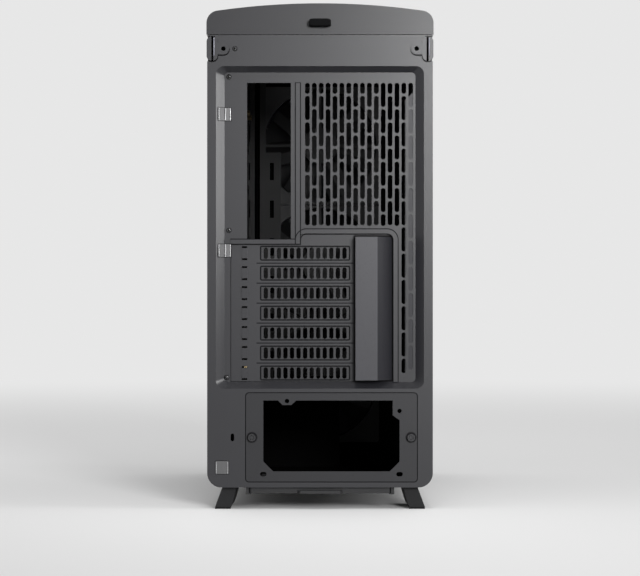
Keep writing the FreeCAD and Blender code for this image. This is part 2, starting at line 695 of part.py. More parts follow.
def standoffs():
    """Threaded hexagon posts for the motherboard."""
    posts = []
    for y, z in board_holes():
        posts.append(prism((TRAY_X + SHEET, y, z), V(STANDOFF, 0, 0), STANDOFF_RADIUS, HEX_SIDES))
    return Part.makeCompound(posts)


def cable_bar():
    """Slotted upright that hides the cables in front of the board."""
    x = (TRAY_X + SHEET, TRAY_X + SHEET + CABLE_BAR_WIDTH)
    high = ROOF_LOW - ROOF_FLANGE
    wires = [rectangle(x, (SHROUD_TOP, high), 0, xz(BAR_BACK))]
    rows = int((high - SHROUD_TOP) / (2 * CABLE_BAR_WIDTH))
    pitch = (high - SHROUD_TOP) / rows
    for i in range(rows):
        z = SHROUD_TOP + (i + 0.5) * pitch
        wires.append(slot(x[1] - CABLE_BAR_WIDTH / 6, z, GRILLE_SLOT, GRILLE_SLOT_LENGTH, xz(BAR_BACK)))
    return sheet(wires, V(0, SHEET, 0))


def roof_frame():
    """Top of the chassis, with two fan windows and turned-down edges."""
    x = (CHASSIS_LEFT, CHASSIS_RIGHT)
    wires = [rectangle(x, (PANEL_BACK, FRAME_FRONT), 0, xy(ROOF_LOW))]
    for y in roof_windows():
        wires.append(rectangle((TRAY_X + ROOF_RAIL, x[1] - ROOF_RAIL), y, TOP_CORNER_RADIUS, xy(ROOF_LOW)))
    top = sheet(wires, V(0, 0, SHEET))
    across = (LEFT + LUG_HOLE_INSET, RIGHT - LUG_HOLE_INSET)
    tongue = block(across, (REAR + SHEET, PANEL_BACK), (ROOF_LOW, ROOF_TOP))
    flange_y = (PANEL_BACK, FRAME_BACK - FIT_GAP)
    flange_z = (ROOF_LOW - ROOF_FLANGE, ROOF_LOW)
    edges = ((x[0], x[0] + SHEET), (x[1] - SHEET, x[1]))
    flanges = [block(edge, flange_y, flange_z) for edge in edges]
    return fused([top, tongue] + flanges)


def roof_windows():
    """Depth ranges of the two fan windows in the roof."""
    y0, y1 = PANEL_BACK + ROOF_BRIDGE, MODULE_Y[0] - ROOF_BRIDGE
    middle = (y0 + y1) / 2
    return [(y0, middle - ROOF_BRIDGE / 2), (middle + ROOF_BRIDGE / 2, y1)]


def floor_pan():
    """Bottom of the chassis: a trough with round corners and supply vents."""
    y = (REAR + PAN_DEPTH, PANEL_FRONT)
    trough = sheet([body_outline(0, xz(y[0])), body_outline(SHEET, xz(y[0]))], V(0, y[1] - y[0], 0))
    trough = trough.common(block((LEFT, RIGHT), y, (FLOOR, FLOOR + CORNER_RADIUS)))
    cuts = []
    first = -(FLOOR_VENTS - 1) / 2 * FLOOR_VENT_PITCH
    for row in range(2):
        start = y[0] + ROOF_BRIDGE + row * (FLOOR_VENT_LENGTH + FLOOR_VENT_PITCH)
        for i in range(FLOOR_VENTS):
            x = first + i * FLOOR_VENT_PITCH
            across = (x - FLOOR_VENT_WIDTH / 2, x + FLOOR_VENT_WIDTH / 2)
            cuts.append(block(across, (start, start + FLOOR_VENT_LENGTH), (FLOOR, DECK)))
    return trough.cut(cuts)


def front_frame():
    """Front of the chassis, with a round opening for each fan."""
    low, ease = DECK + FIT_GAP, CORNER_RADIUS
    left, right, high = CHASSIS_LEFT, CHASSIS_RIGHT, ROOF_LOW - FIT_GAP
    corners = [(left + ease, low, 0), (right - ease, low, 0), (right, low + ease, 0)]
    corners += [(right, high, 0), (left, high, 0), (left, low + ease, 0)]
    wires = [outline(corners, xz(FRAME_BACK))]
    for z in FAN_CENTRES:
        wires.append(Part.Wire(Part.makeCircle(FAN_SIZE / 2 - FAN_WALL, V(0, FRAME_BACK, z), V(0, 1, 0))))
    return sheet(wires, V(0, SHEET, 0))


def psu_shroud():
    """Cover over the supply bay: a deck, a side wall and a front edge."""
    wall = RIGHT - SHROUD_WALL_INSET
    y = (REAR + 2 * SHEET, SHROUD_FRONT)
    z = (SHROUD_TOP - SHEET, SHROUD_TOP)
    deck = block((TRAY_X, CHASSIS_RIGHT - FIT_GAP), y, z)
    side = block((wall - SHEET, wall), y, (DECK, z[0]))
    post = block((TRAY_X, TRAY_X + SHEET), (y[1] - GROMMET_WIDTH, y[1]), (DECK, z[0]))
    return fused([deck, side, post])


def drive_cage():
    """Folded cage for two drives, standing on the floor behind the front fans."""
    x, y, z = cage_box()
    shell = block(x, y, z).cut(block(x, (y[0] + SHEET, y[1] - SHEET), (z[0] + SHEET, z[1] - SHEET)))
    rests = []
    for i in range(2):
        for edge in ((y[0] + SHEET, y[0] + 4 * SHEET), (y[1] - 4 * SHEET, y[1] - SHEET)):
            rests.append(block(x, edge, (tray_low(i) - SHEET, tray_low(i))))
    return fused([shell] + rests)


def cage_box():
    """Ranges of the drive cage."""
    x = (TRAY_X + 2 * SHEET, TRAY_X + 2 * SHEET + CAGE_WIDTH)
    y = (SHROUD_FRONT - CAGE_FRONT_GAP - CAGE_LENGTH, SHROUD_FRONT - CAGE_FRONT_GAP)
    return x, y, (DECK, DECK + CAGE_HEIGHT)


def tray_low(index):
    """Underside of one drive tray."""
    return DECK + 3 * SHEET + index * CAGE_HEIGHT / 2


def drive_tray(index):
    """Open drive tray that rests in the cage."""
    x, y, z = cage_box()
    y = (y[0] + 2 * SHEET, y[1] - 2 * SHEET)
    low = tray_low(index)
    high, wall = low + DRIVE_TRAY_HEIGHT, DRIVE_TRAY_WALL
    outer = block(x, y, (low, high))
    inner = block((x[0] + wall, x[1] - wall), (y[0] + wall, y[1] - wall), (low + wall, high))
    return outer.cut(inner)


def supply_window(place):
    """Opening for the supply's inlet and fan, with ears round two of its screw holes."""
    x0, x1 = SUPPLY_X, SUPPLY_X + SUPPLY_HOLE_SPAN
    z0, z1 = SUPPLY_Z + SUPPLY_WINDOW_SILL, SUPPLY_Z + SUPPLY_WINDOW_TOP
    ear_x = SUPPLY_X + SUPPLY_TOP_HOLE_X
    ear_z = SUPPLY_Z + SUPPLY_HOLE_SIDE
    ear, cut = SUPPLY_EAR, SUPPLY_CHAMFER
    corners = [(x0, z0 + cut), (x0 + cut, z0), (x1 - cut, z0), (x1, z0 + cut)]
    corners += [(x1, ear_z - 2 * ear), (x1 - 1.5 * ear, ear_z - ear), (x1 - 1.5 * ear, z1)]
    corners += [(ear_x + 2 * ear, z1), (ear_x + ear, z1 - ear)]
    corners += [(ear_x - ear, z1 - ear), (ear_x - 2 * ear, z1), (x0, z1)]
    return outline([(u, v, 0) for u, v in corners], place)


def psu_bracket():
    """Plate that screws to the supply and seats in the lip of the rear panel."""
    place = xz(REAR)
    wires = [supply_plate(0, REAR), supply_window(place)]
    r = SUPPLY_HOLE_RADIUS
    reach = SUPPLY_SLOT / 2
    for x in (SUPPLY_X, SUPPLY_X + SUPPLY_HOLE_SPAN):
        wires.append(rectangle((x - reach, x + reach), (SUPPLY_Z - r, SUPPLY_Z + r), r, place))
    top = (SUPPLY_X + SUPPLY_TOP_HOLE_X, SUPPLY_Z + SUPPLY_TOP_HOLE_Z)
    side = (SUPPLY_X + SUPPLY_HOLE_SPAN, SUPPLY_Z + SUPPLY_HOLE_SIDE)
    for x, z in (top, side):
        wires.append(Part.Wire(Part.makeCircle(r, V(x, REAR, z), V(0, 1, 0))))
    return sheet(wires, V(0, SHEET, 0))


def psu_thumbscrews():
    """Two thumbscrew heads on the supply bracket."""
    z = SUPPLY_LOW + SUPPLY_PLATE_HEIGHT / 2
    inset = SUPPLY_LIP - SHEET
    heads = []
    for x in (SUPPLY_LEFT + inset, SUPPLY_RIGHT - inset):
        heads.append(prism((x, REAR, z), V(0, -THUMB_HEIGHT, 0), THUMB_RADIUS, THUMB_SIDES))
    return Part.makeCompound(heads)


def slot_cover(z):
    """Perforated cover of one slot, with a narrow tail and a tab bent to the back."""
    y = ZONE_Y + SHEET
    x = (SLOT_LEFT - BRIDGE_GAP + COVER_TAIL / 2, TAB_X + COVER_THICKNESS)
    half = COVER_HEIGHT / 2
    wires = [rectangle(x, (z - half, z + half), 0, xz(y))]
    middle = (SLOT_LEFT + SLOT_RIGHT) / 2
    for i in range(COVER_HOLES):
        u = middle + (i - (COVER_HOLES - 1) / 2) * COVER_HOLE_PITCH
        wires.append(slot(u, z, COVER_HOLE_WIDTH, COVER_HOLE_HEIGHT, xz(y)))
    plate = sheet(wires, V(0, COVER_THICKNESS, 0))
    tail_z = (z - TAIL_HEIGHT / 2, z + TAIL_HEIGHT / 2)
    tail = block((x[0] - COVER_TAIL, x[0]), (y, y + COVER_THICKNESS), tail_z)
    tab = block((TAB_X, x[1]), (y - TAB_REACH, y), (z - TAB_HEIGHT / 2, z + TAB_HEIGHT / 2))
    return fused([plate, tail, tab])


def slot_screws():
    """Hexagon heads that hold the cover tabs on the ledge."""
    x = TAB_X + COVER_THICKNESS
    y = ZONE_Y + SHEET - TAB_REACH / 2 - SHEET
    heads = [prism((x, y, z), V(TAB_SCREW_HEIGHT, 0, 0), TAB_SCREW_RADIUS, HEX_SIDES) for z in SLOT_CENTRES]
    return Part.makeCompound(heads)


def slot_lock_cover():
    """Hood over the slot screws: a flat face, a sloped side and closed ends."""
    z = (ZONE_LOW + HOOD_END_GAP, ZONE_HIGH + ZONE_STEP - HOOD_TOP_GAP)
    base, face = ZONE_Y - FIT_GAP, REAR - HOOD_PROUD

    def section(inset, base_y, height):
        left = HOOD_LEFT + inset
        corners = [(left, base_y), (left, face + inset), (HOOD_LEFT + HOOD_FACE - inset / 2, face + inset)]
        corners.append((HOOD_RIGHT - 1.5 * inset, base_y))
        return outline([(u, v, 0) for u, v in corners], xy(height))

    tall = z[1] - z[0]
    outer = sheet([section(0, base, z[0])], V(0, 0, tall))
    inner = sheet([section(HOOD_WALL, base + SHEET, z[0] + HOOD_WALL)], V(0, 0, tall - 2 * HOOD_WALL))
    return outer.cut(inner)


def panel_clips():
    """Three bright spring clips: two follow the sloped left wall and one lies flat."""
    slope = RECESS_BEVEL_SIDE / RECESS_DEPTH
    up = CLIP_RISE
    x0 = FIELD_LEFT
    x1 = x0 + CLIP_SIZE / 2
    gap = FIT_GAP / 2
    t = CLIP_THICKNESS
    section = [(x0 - up * slope, FIELD_Y - up), (x0, FIELD_Y), (x1, FIELD_Y), (x1, FIELD_Y - t)]
    section += [(x0 + t / 2, FIELD_Y - t), (x0 - up * slope + t, FIELD_Y - up - t / 2)]
    clips = []
    for z in (IO_HIGH - CLIP_HIGH, ZONE_HIGH - CLIP_SIZE / 2):
        wire = outline([(u + gap, v - gap, 0) for u, v in section], xy(z - CLIP_SIZE / 2))
        clips.append(sheet([wire], V(0, 0, CLIP_SIZE)))
    x = (LEFT + CLIP_INSET, LEFT + CLIP_INSET + CLIP_SIZE)
    clips.append(block(x, (REAR - t, REAR), (FLOOR + CLIP_LOW, FLOOR + CLIP_LOW + CLIP_SIZE)))
    return Part.makeCompound(clips)


def panel_screws():
    """Small round heads that hold the inner frame to the rear panel."""
    edge = FIELD_LEFT + 2 * SMALL_SCREW_RADIUS
    places = [(TRAY_X - SMALL_SCREW_RADIUS, REAR, sum(LUG_Z) / 2)]
    places.append((edge, FIELD_Y, FIELD_HIGH - 2 * SMALL_SCREW_RADIUS))
    places.append((edge, FIELD_Y, IO_LOW + 4 * SMALL_SCREW_RADIUS))
    places.append((edge - SMALL_SCREW_RADIUS, FIELD_Y, FIELD_LOW + 2 * SMALL_SCREW_RADIUS))
    heads = [prism(p, V(0, -SMALL_SCREW_HEIGHT, 0), SMALL_SCREW_RADIUS, SCREW_SIDES) for p in places]
    return Part.makeCompound(heads)


def psu_pads():
    """Rubber pads that the supply stands on."""
    side = 2 * FLOOR_VENT_WIDTH
    across = (FLOOR_VENTS + 1) * FLOOR_VENT_PITCH / 2
    pads = []
    for x in (-across - side / 2, across - side / 2):
        for y in (REAR + ROOF_BRIDGE, REAR + ROOF_BRIDGE + 2 * FLOOR_VENT_LENGTH):
            pads.append(block((x, x + side), (y, y + side), (DECK, DECK + side / 3)))
    return Part.makeCompound(pads)


def fan_frame(z):
    """Square fan frame with a round duct, a motor base and four struts."""
    half = FAN_SIZE / 2
    duct = half - FAN_WALL
    corner = rectangle((-half, half), (z - half, z + half), FAN_WALL, xz(FAN_BACK))
    ring = Part.Wire(Part.makeCircle(duct, V(0, FAN_BACK, z), V(0, 1, 0)))
    body = sheet([corner, ring], V(0, FAN_DEPTH, 0))
    centre = V(0, FAN_BACK, z)
    base = Part.makeCylinder(FAN_HUB, FAN_WALL, centre, V(0, 1, 0))
    strut = FAN_WALL / 2
    bars = [block((-half, half), (FAN_BACK, FAN_BACK + FAN_WALL), (z - strut, z + strut))]
    bars.append(block((-strut, strut), (FAN_BACK, FAN_BACK + FAN_WALL), (z - half, z + half)))
    bore = Part.makeCylinder(SHAFT_RADIUS + SHAFT_CLEARANCE, FAN_WALL, centre, V(0, 1, 0))
    return fused([body, base] + bars).cut(bore)


def blade(turn, y, z):
    """Blade with one fold for its camber, leaning with its pitch and trimmed to a swept plan."""
    root, tip = FAN_HUB - FAN_WALL / 2, FAN_SIZE / 2 - FAN_WALL - FAN_TIP_GAP
    half, skin = BLADE_CHORD / 2, BLADE_THICKNESS
    section = [(-half, 0), (0, BLADE_CAMBER), (half, 0), (half, skin), (0, BLADE_CAMBER + skin), (-half, skin)]
    plate = sheet([outline([(u, v, 0) for u, v in section], xy(root))], V(0, 0, 2 * tip))
    plate.rotate(V(0, 0, 0), V(0, 0, 1), -BLADE_PITCH)
    narrow = BLADE_ROOT_SHARE * half
    ends = [(-narrow, root), (narrow, root), (half + BLADE_SWEEP, 2 * tip), (BLADE_SWEEP - half, 2 * tip)]
    plan = sheet([outline([(u, v, 0) for u, v in ends], xz(-FAN_DEPTH))], V(0, 2 * FAN_DEPTH, 0))
    reach = Part.makeCylinder(tip, 2 * FAN_DEPTH, V(0, -FAN_DEPTH, 0), V(0, 1, 0))
    shape = plate.common(plan).common(reach)
    shape.rotate(V(0, 0, 0), V(0, 1, 0), turn)
    shape.translate(V(0, y, z))
    return shape


def fan_rotor(z):
    """Fan hub with its shaft and swept, cambered blades."""
    back = FAN_BACK + FAN_WALL + 2 * FIT_GAP
    front = FAN_BACK + FAN_DEPTH - FAN_WALL
    profile = [V(0, back, 0), V(FAN_HUB, back, 0), V(FAN_HUB, front - FAN_WALL, 0)]
    profile += [V(FAN_HUB - FAN_WALL, front, 0), V(0, front, 0), V(0, back, 0)]
    hub = Part.Face(Part.makePolygon(profile)).revolve(V(0, 0, 0), V(0, 1, 0), 360)
    hub.translate(V(0, 0, z))
    shaft = Part.makeCylinder(SHAFT_RADIUS, back - FAN_BACK, V(0, FAN_BACK, z), V(0, 1, 0))
    y = (back + front - BLADE_THICKNESS) / 2
    blades = [blade(360 * i / FAN_BLADES, y, z) for i in range(FAN_BLADES)]
    return fused([hub, shaft] + blades)


def fan_screws():
    """Hexagon heads of the fan screws on the front frame."""
    half = FAN_HOLE_SPAN / 2
    heads = []
    for z in FAN_CENTRES:
        for x in (-half, half):
            for dz in (-half, half):
                heads.append(prism((x, FRAME_FRONT, z + dz), V(0, SHEET, 0), 2 * SHAFT_RADIUS, HEX_SIDES))
    return Part.makeCompound(heads)


def front_panel():
    """Crowned front shell with a tall intake window."""
    back = FRONT - FRONT_DEPTH
    shell = sheet([arch_outline(0, FLOOR, CORNER_RADIUS, xz(back))], V(0, FRONT_DEPTH, 0))
    rim = [e for e in shell.Edges if e.BoundBox.YMin > FRONT - 1e-3]
    shell = shell.makeFillet(FRONT_EDGE, rim)
    wall = COVER_WALL
    hollow = arch_outline(wall, FLOOR + wall, CORNER_RADIUS - wall, xz(back))
    shell = shell.cut(sheet([hollow], V(0, FRONT_DEPTH - wall, 0)))
    return shell.cut(sheet([intake(0, FRONT - 2 * wall)], V(0, 3 * wall, 0)))


def intake(grow, y):
    """Outline of the intake window, grown by grow."""
    half = COVER_WIDTH / 2 - MESH_BORDER + grow
    z = (FLOOR + MESH_BORDER - grow, SEAM + grow)
    return rectangle((-half, half), z, CORNER_RADIUS / 2, xz(y))


def front_mesh():
    """Flat intake mesh behind the window of the front panel."""
    y = FRONT - COVER_WALL - MESH_GAP - MESH_SHEET
    return sheet([intake(FRONT_EDGE, y)], V(0, MESH_SHEET, 0))


def vent():
    """Ranges of the vent window in the top cover."""
    half = COVER_WIDTH / 2 - VENT_MARGIN
    return (-half, half), (REAR + VENT_MARGIN, MODULE_Y[0] - VENT_MARGIN)


def top_cover():
    """Crowned lid with closed ends, a vent window and a gap for the port module."""
    y = (REAR, PANEL_FRONT)
    wall = COVER_WALL
    shell = sheet([arch_outline(0, SEAM, 0, xz(y[0]))], V(0, y[1] - y[0], 0))
    hollow = arch_outline(wall, SEAM - wall, 0, xz(y[0] + wall))
    shell = shell.cut(sheet([hollow], V(0, y[1] - y[0] - 2 * wall, 0)))
    half = MODULE_WIDTH / 2 + MODULE_GAP
    gap = block((-half, half), (MODULE_Y[0] - MODULE_GAP, MODULE_Y[1] + MODULE_GAP), (SEAM, CROWN + wall))
    x, window_y = vent()
    window = sheet([rectangle(x, window_y, CORNER_RADIUS / 2, xy(SEAM))], V(0, 0, COVER_RISE + wall))
    tongue = sheet([pull_tab_outline(FIT_GAP, REAR)], V(0, wall, 0))
    return shell.cut([gap, window, tongue])


def pull_tab_outline(grow, y):
    """Outline of the pull tab at the back of the top cover."""
    half = PULL_TAB_WIDTH / 2 + grow
    z = SEAM + PULL_TAB_RISE
    return rectangle((-half, half), (z - grow, z + PULL_TAB_HEIGHT + grow), PULL_TAB_RADIUS + grow, xz(y))


def pull_tab():
    """Rubber pull tab held in the rear wall of the top cover."""
    start = REAR - PULL_TAB_REACH
    return sheet([pull_tab_outline(0, start)], V(0, PULL_TAB_REACH + COVER_WALL, 0))


def top_mesh():
    """Crowned mesh sheet under the vent window, with a plain grid of openings."""
    x, y = vent()
    sink = COVER_WALL + MESH_GAP
    half = x[1] + VENT_MARGIN / 4
    upper = [V(u, y[0], arch_height(u, sink)) for u in (-half, 0, half)]
    lower = [p - V(0, 0, MESH_SHEET) for p in upper]
    edges = [Part.Arc(*upper).toShape(), Part.LineSegment(upper[2], lower[2]).toShape()]
    edges += [Part.Arc(*reversed(lower)).toShape(), Part.LineSegment(lower[0], upper[0]).toShape()]
    face = Part.Face(Part.Wire(edges))
    face.translate(V(0, -VENT_MARGIN / 4, 0))
    plate = face.extrude(V(0, y[1] - y[0] + VENT_MARGIN / 2, 0))
    across, along = (x[1] - x[0]) / MESH_COLUMNS, (y[1] - y[0]) / MESH_ROWS
    cells = []
    for i in range(MESH_COLUMNS):
        for j in range(MESH_ROWS):
            u, v = x[0] + i * across + MESH_BAR / 2, y[0] + j * along + MESH_BAR / 2
            cells.append(block((u, u + across - MESH_BAR), (v, v + along - MESH_BAR), (SEAM, CROWN)))
    return plate.cut(cells)


def module_places():
    """Centres across the port module of its buttons and ports, by name."""
    places = {"reset_button": -RESET_OFFSET, "audio_jack": -JACK_OFFSET, "usb_c_port": -USB_C_OFFSET}
    places.update({"power_button": 0, "usb_port_1": USB_OFFSET, "usb_port_2": 2 * USB_OFFSET})
    return places


def port_sizes():
    """Mouth of each port, across and deep."""
    sizes = {"audio_jack": JACK_SIZE, "usb_c_port": USB_C_SIZE}
    sizes["usb_port_1"] = sizes["usb_port_2"] = USB_SIZE
    return sizes


def button_radii():
    """Radius of each button."""
    return {"power_button": BUTTON_RADIUS, "reset_button": RESET_RADIUS}


def io_module():
    """Port block on the roof, with a crowned top and a pocket for each port and button."""
    half = MODULE_WIDTH / 2
    body = block((-half, half), MODULE_Y, (ROOF_TOP, CROWN))
    arch = arch_outline(MODULE_SINK, ROOF_TOP - SHEET, 0, xz(MODULE_Y[0] - SHEET))
    crown = sheet([arch], V(0, MODULE_DEPTH + 2 * SHEET, 0))
    body = body.common(crown)
    y = sum(MODULE_Y) / 2
    cuts = []
    places = module_places()
    for name, (w, d) in port_sizes().items():
        x = places[name]
        cuts.append(block((x - w / 2, x + w / 2), (y - d / 2, y + d / 2), (port_low(x), CROWN)))
    for name, r in button_radii().items():
        x = places[name]
        low = button_low(x) - BUTTON_TRAVEL - BUTTON_GAP
        cuts.append(Part.makeCylinder(r + BUTTON_GAP, CROWN - low, V(x, y, low)))
    return body.cut(cuts)


def port_low(x):
    """Bottom of the port pocket at x."""
    return arch_height(x, MODULE_SINK) - PORT_DEPTH


def button_low(x):
    """Underside of a button at x."""
    return arch_height(x, MODULE_SINK) - BUTTON_LENGTH


def port(x, size):
    """Metal shell of a port with its tongue."""
    y = sum(MODULE_Y) / 2
    w, d = size[0] / 2, size[1] / 2
    low, high = port_low(x), arch_height(abs(x) + w, MODULE_SINK)
    shell = block((x - w, x + w), (y - d, y + d), (low, high))
    t = PORT_WALL
    hollow = block((x - w + t, x + w - t), (y - d + t, y + d - t), (low + t, high))
    tongue = block((x - w + 3 * t, x + w - 3 * t), (y - t / 2, y + t / 2), (low, high - 2 * t))
    return fused([shell.cut(hollow), tongue])


def button(x, radius):
    """Round push button."""
    y = sum(MODULE_Y) / 2
    low = button_low(x)
    return Part.makeCylinder(radius, arch_height(x, FIT_GAP) - low, V(x, y, low))


def foot_toe():
    """Outer edge of a foot's toe where it meets its pad."""
    return RIGHT - FOOT_TOP_OUTER + FOOT_SPLAY * (FLOOR - PAD_HEIGHT) / FLOOR


def foot_outline(side, flare, place):
    """Corners of a foot's splayed blade; flare widens its inner edge."""
    top, toe = RIGHT - FOOT_TOP_OUTER, foot_toe()
    inner, heel = top - FOOT_TOP_WIDTH - flare, toe - FOOT_TOE - flare
    low = PAD_HEIGHT
    corners = [(top, FLOOR), (toe, low), (heel + TOE_CUT, low), (heel, low + TOE_RISE), (inner, FLOOR)]
    return [place(side * u, v) for u, v in corners]


def foot_ends(end):
    """Outer and inner depth of a foot; end is -1 rear and 1 front."""
    outside = REAR + FOOT_INSET if end < 0 else PANEL_FRONT - FOOT_INSET
    return outside, outside - end * FOOT_LENGTH


def foot(side, end):
    """Flared foot; side is -1 left and 1 right."""
    outside, inside = foot_ends(end)
    near, far = foot_outline(side, 0, xz(outside)), foot_outline(side, FOOT_FLARE, xz(inside))
    loops = [near, far]
    for i in range(len(near)):
        loops.append([near[i - 1], near[i], far[i], far[i - 1]])
    faces = [Part.Face(Part.makePolygon(loop + loop[:1])) for loop in loops]
    solid = Part.Solid(Part.Shell(faces))
    return solid if solid.Volume > 0 else solid.reversed()


def foot_pads():
    """Thin rubber pads under the feet."""
    pads = []
    toe = foot_toe()
    for side in (-1, 1):
        for end in (-1, 1):
            x = (side * toe, side * (toe - FOOT_TOE + TOE_CUT))
            pads.append(block(x, foot_ends(end), (0, PAD_HEIGHT)))
    return Part.makeCompound(pads)


def bottom_filter_frame():
    """Sliding dust-filter frame with a grip at the back."""
    half = FILTER_WIDTH / 2
    y = (REAR + FILTER_INSET, REAR + FILTER_INSET + FILTER_LENGTH)
    z = (FLOOR - FILTER_GAP - FILTER_HEIGHT, FLOOR - FILTER_GAP)
    wires = [rectangle((-half, half), y, FILTER_HEIGHT / 2, xy(z[0]))]
    bar = FILTER_BAR
    middle = sum(y) / 2
    wires.append(rectangle((-half + bar, half - bar), (y[0] + bar, middle - bar / 2), 0, xy(z[0])))
    wires.append(rectangle((-half + bar, half - bar), (middle + bar / 2, y[1] - bar), 0, xy(z[0])))
    frame = sheet(wires, V(0, 0, FILTER_HEIGHT))
    grip = GRIP_WIDTH / 2
    tongue = [(-grip - bar / 2, y[0] + bar / 2, 0), (grip + bar / 2, y[0] + bar / 2, 0)]
    tongue += [(grip, y[0] - GRIP_REACH, bar / 4), (-grip, y[0] - GRIP_REACH, bar / 4)]
    return fused([frame, sheet([outline(tongue, xy(z[0]))], V(0, 0, FILTER_HEIGHT / 2))])


def bottom_filter_mesh():
    """Fine filter sheet in the frame."""
    half = FILTER_WIDTH / 2 - FILTER_BAR / 2
    y = (REAR + FILTER_INSET + FILTER_BAR / 2, REAR + FILTER_INSET + FILTER_LENGTH - FILTER_BAR / 2)
    z = FLOOR - FILTER_GAP
    return block((-half, half), y, (z, z + FILTER_GAP / 2))


def filter_rails():
    """Two hooked rails under the floor that the filter slides in."""
    inner = FILTER_WIDTH / 2 + FILTER_GAP
    low = FLOOR - 2 * FILTER_GAP - FILTER_HEIGHT
    y = (REAR + FILTER_INSET, REAR + FILTER_INSET + FILTER_LENGTH)
    rails = []
    for s in (-1, 1):
        side = block((s * inner, s * (inner + RAIL_WIDTH)), y, (low - RAIL_SHEET, FLOOR))
        lip = block((s * (inner - RAIL_LIP), s * inner), y, (low - RAIL_SHEET, low))
        rails.append(fused([side, lip]))
    return Part.makeCompound(rails)


def build():
    """All the pieces, by name."""
    pieces = {
        "rear_panel": rear_panel(),
        "rear_pillar": rear_pillar(),
        "motherboard_tray": motherboard_tray(),
        "cable_grommets": cable_grommets(),
        "standoffs": standoffs(),
        "cable_bar": cable_bar(),
        "roof_frame": roof_frame(),
        "floor_pan": floor_pan(),
        "front_frame": front_frame(),
        "psu_shroud": psu_shroud(),
        "drive_cage": drive_cage(),
        "psu_bracket": psu_bracket(),
        "psu_thumbscrews": psu_thumbscrews(),
        "slot_screws": slot_screws(),
        "slot_lock_cover": slot_lock_cover(),
        "panel_clips": panel_clips(),
        "panel_screws": panel_screws(),
        "psu_pads": psu_pads(),
        "fan_screws": fan_screws(),
        "front_panel": front_panel(),
        "front_mesh": front_mesh(),
        "top_cover": top_cover(),
        "top_mesh": top_mesh(),
        "pull_tab": pull_tab(),
        "glass_panel": glass_panel(),
        "glass_panel_strip": glass_panel_strip(),
        "steel_side_panel": steel_side_panel(),
        "io_module": io_module(),
        "foot_pads": foot_pads(),
        "bottom_filter_frame": bottom_filter_frame(),
        "bottom_filter_mesh": bottom_filter_mesh(),
        "filter_rails": filter_rails(),
    }
    for i, z in enumerate(SLOT_CENTRES):
        pieces[f"slot_cover_{i + 1}"] = slot_cover(z)
    for i in range(2):
        pieces[f"drive_tray_{i + 1}"] = drive_tray(i)
    for i, z in enumerate(FAN_CENTRES):
        pieces[f"fan_frame_{i + 1}"] = fan_frame(z)
        pieces[f"fan_rotor_{i + 1}"] = fan_rotor(z)
    places = module_places()
    for name, size in port_sizes().items():
        pieces[name] = port(places[name], size)
    for name, radius in button_radii().items():
        pieces[name] = button(places[name], radius)
    for end, row in ((-1, "rear"), (1, "front")):
        for side, hand in ((-1, "left"), (1, "right")):
            pieces[f"foot_{row}_{hand}"] = foot(side, end)
    return pieces


os.makedirs("parts", exist_ok=True)
for name, shape in build().items():
    shape.exportStep(os.path.join("parts", name + ".step"))
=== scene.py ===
"""Looks of a mid-tower computer case: finishes, fine meshes, screws and a pale studio."""

import json
import math

import bpy
import numpy as np
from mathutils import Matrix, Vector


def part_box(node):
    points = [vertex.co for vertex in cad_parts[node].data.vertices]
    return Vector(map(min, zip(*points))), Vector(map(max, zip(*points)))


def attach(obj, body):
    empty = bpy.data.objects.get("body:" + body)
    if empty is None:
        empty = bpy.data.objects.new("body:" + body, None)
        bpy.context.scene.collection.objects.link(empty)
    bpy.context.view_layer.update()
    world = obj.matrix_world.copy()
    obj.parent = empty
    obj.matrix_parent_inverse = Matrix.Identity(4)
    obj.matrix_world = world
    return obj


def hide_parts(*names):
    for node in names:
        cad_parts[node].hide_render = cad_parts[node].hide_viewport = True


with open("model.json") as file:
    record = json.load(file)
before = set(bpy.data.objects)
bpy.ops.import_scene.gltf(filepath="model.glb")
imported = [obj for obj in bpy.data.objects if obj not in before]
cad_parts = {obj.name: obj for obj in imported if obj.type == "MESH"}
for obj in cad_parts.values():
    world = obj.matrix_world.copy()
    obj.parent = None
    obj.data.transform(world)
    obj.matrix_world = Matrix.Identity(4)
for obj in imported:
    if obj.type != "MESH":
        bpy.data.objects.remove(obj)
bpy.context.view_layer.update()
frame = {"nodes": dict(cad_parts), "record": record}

bl_info = {
    "name": "Computer case looks",
    "version": (1, 0, 0),
    "blender": (4, 5, 0),
    "location": "View3D > Sidebar > Case",
    "description": "Finishes, meshes, screws and studio for a mid-tower computer case",
    "category": "Object",
}

MM = 0.001

# Places on the rear panel, as (x, z) in metres.
SLOT_COUNT = 7
SLOT_X = (-60.6 * MM, 30.3 * MM)
SLOT_HIGH = 14.3 * MM
SLOT_EASE = 1.5 * MM
WEB_PAST = (4.0 * MM, 5.5 * MM)
ZONE_WIDE = ((-91.0 * MM, 129.0 * MM), (74.2 * MM, 268.9 * MM))
ZONE_TALL = ((-19.85 * MM, 129.0 * MM), (74.2 * MM, 279.3 * MM))
ZONE_EASE = 6.0 * MM
RIB_WIDE = 5.2 * MM
RIB_POST = ((-25.05 * MM, 268.9 * MM), (-19.85 * MM, 432.9 * MM))
PLATE_EASE = 3.0 * MM
LUG_LEAF = ((103.65 * MM, 454.5 * MM), (114.8 * MM, 478.9 * MM))
LUG_EAR = ((91.9 * MM, 460.8 * MM), (109.0 * MM, 472.6 * MM))
LUG_ROUND = 5.0 * MM
EAR_ROUND = 5.8 * MM
# How far the painted shadow under each lug is set below it; the slit's shade and the lug beads also use it as
# a margin.
LUG_DROP = 0.9 * MM
LUG_SLIT = (107.95 * MM, 109.95 * MM)
# How far behind the rear panel the painted shade in a lug's slit reaches.
LUG_DEEP = 9.0 * MM

# Painted shade lines in the coat: full up to the first distance from an edge, gone at the second.
CREASE = (0.25 * MM, 0.75 * MM)
GAP = (0.6 * MM, 1.2 * MM)
SHADOW = (1.0 * MM, 3.4 * MM)
RIM = (0.2 * MM, 1.5 * MM)
SEAT = (0.4 * MM, 2.2 * MM)
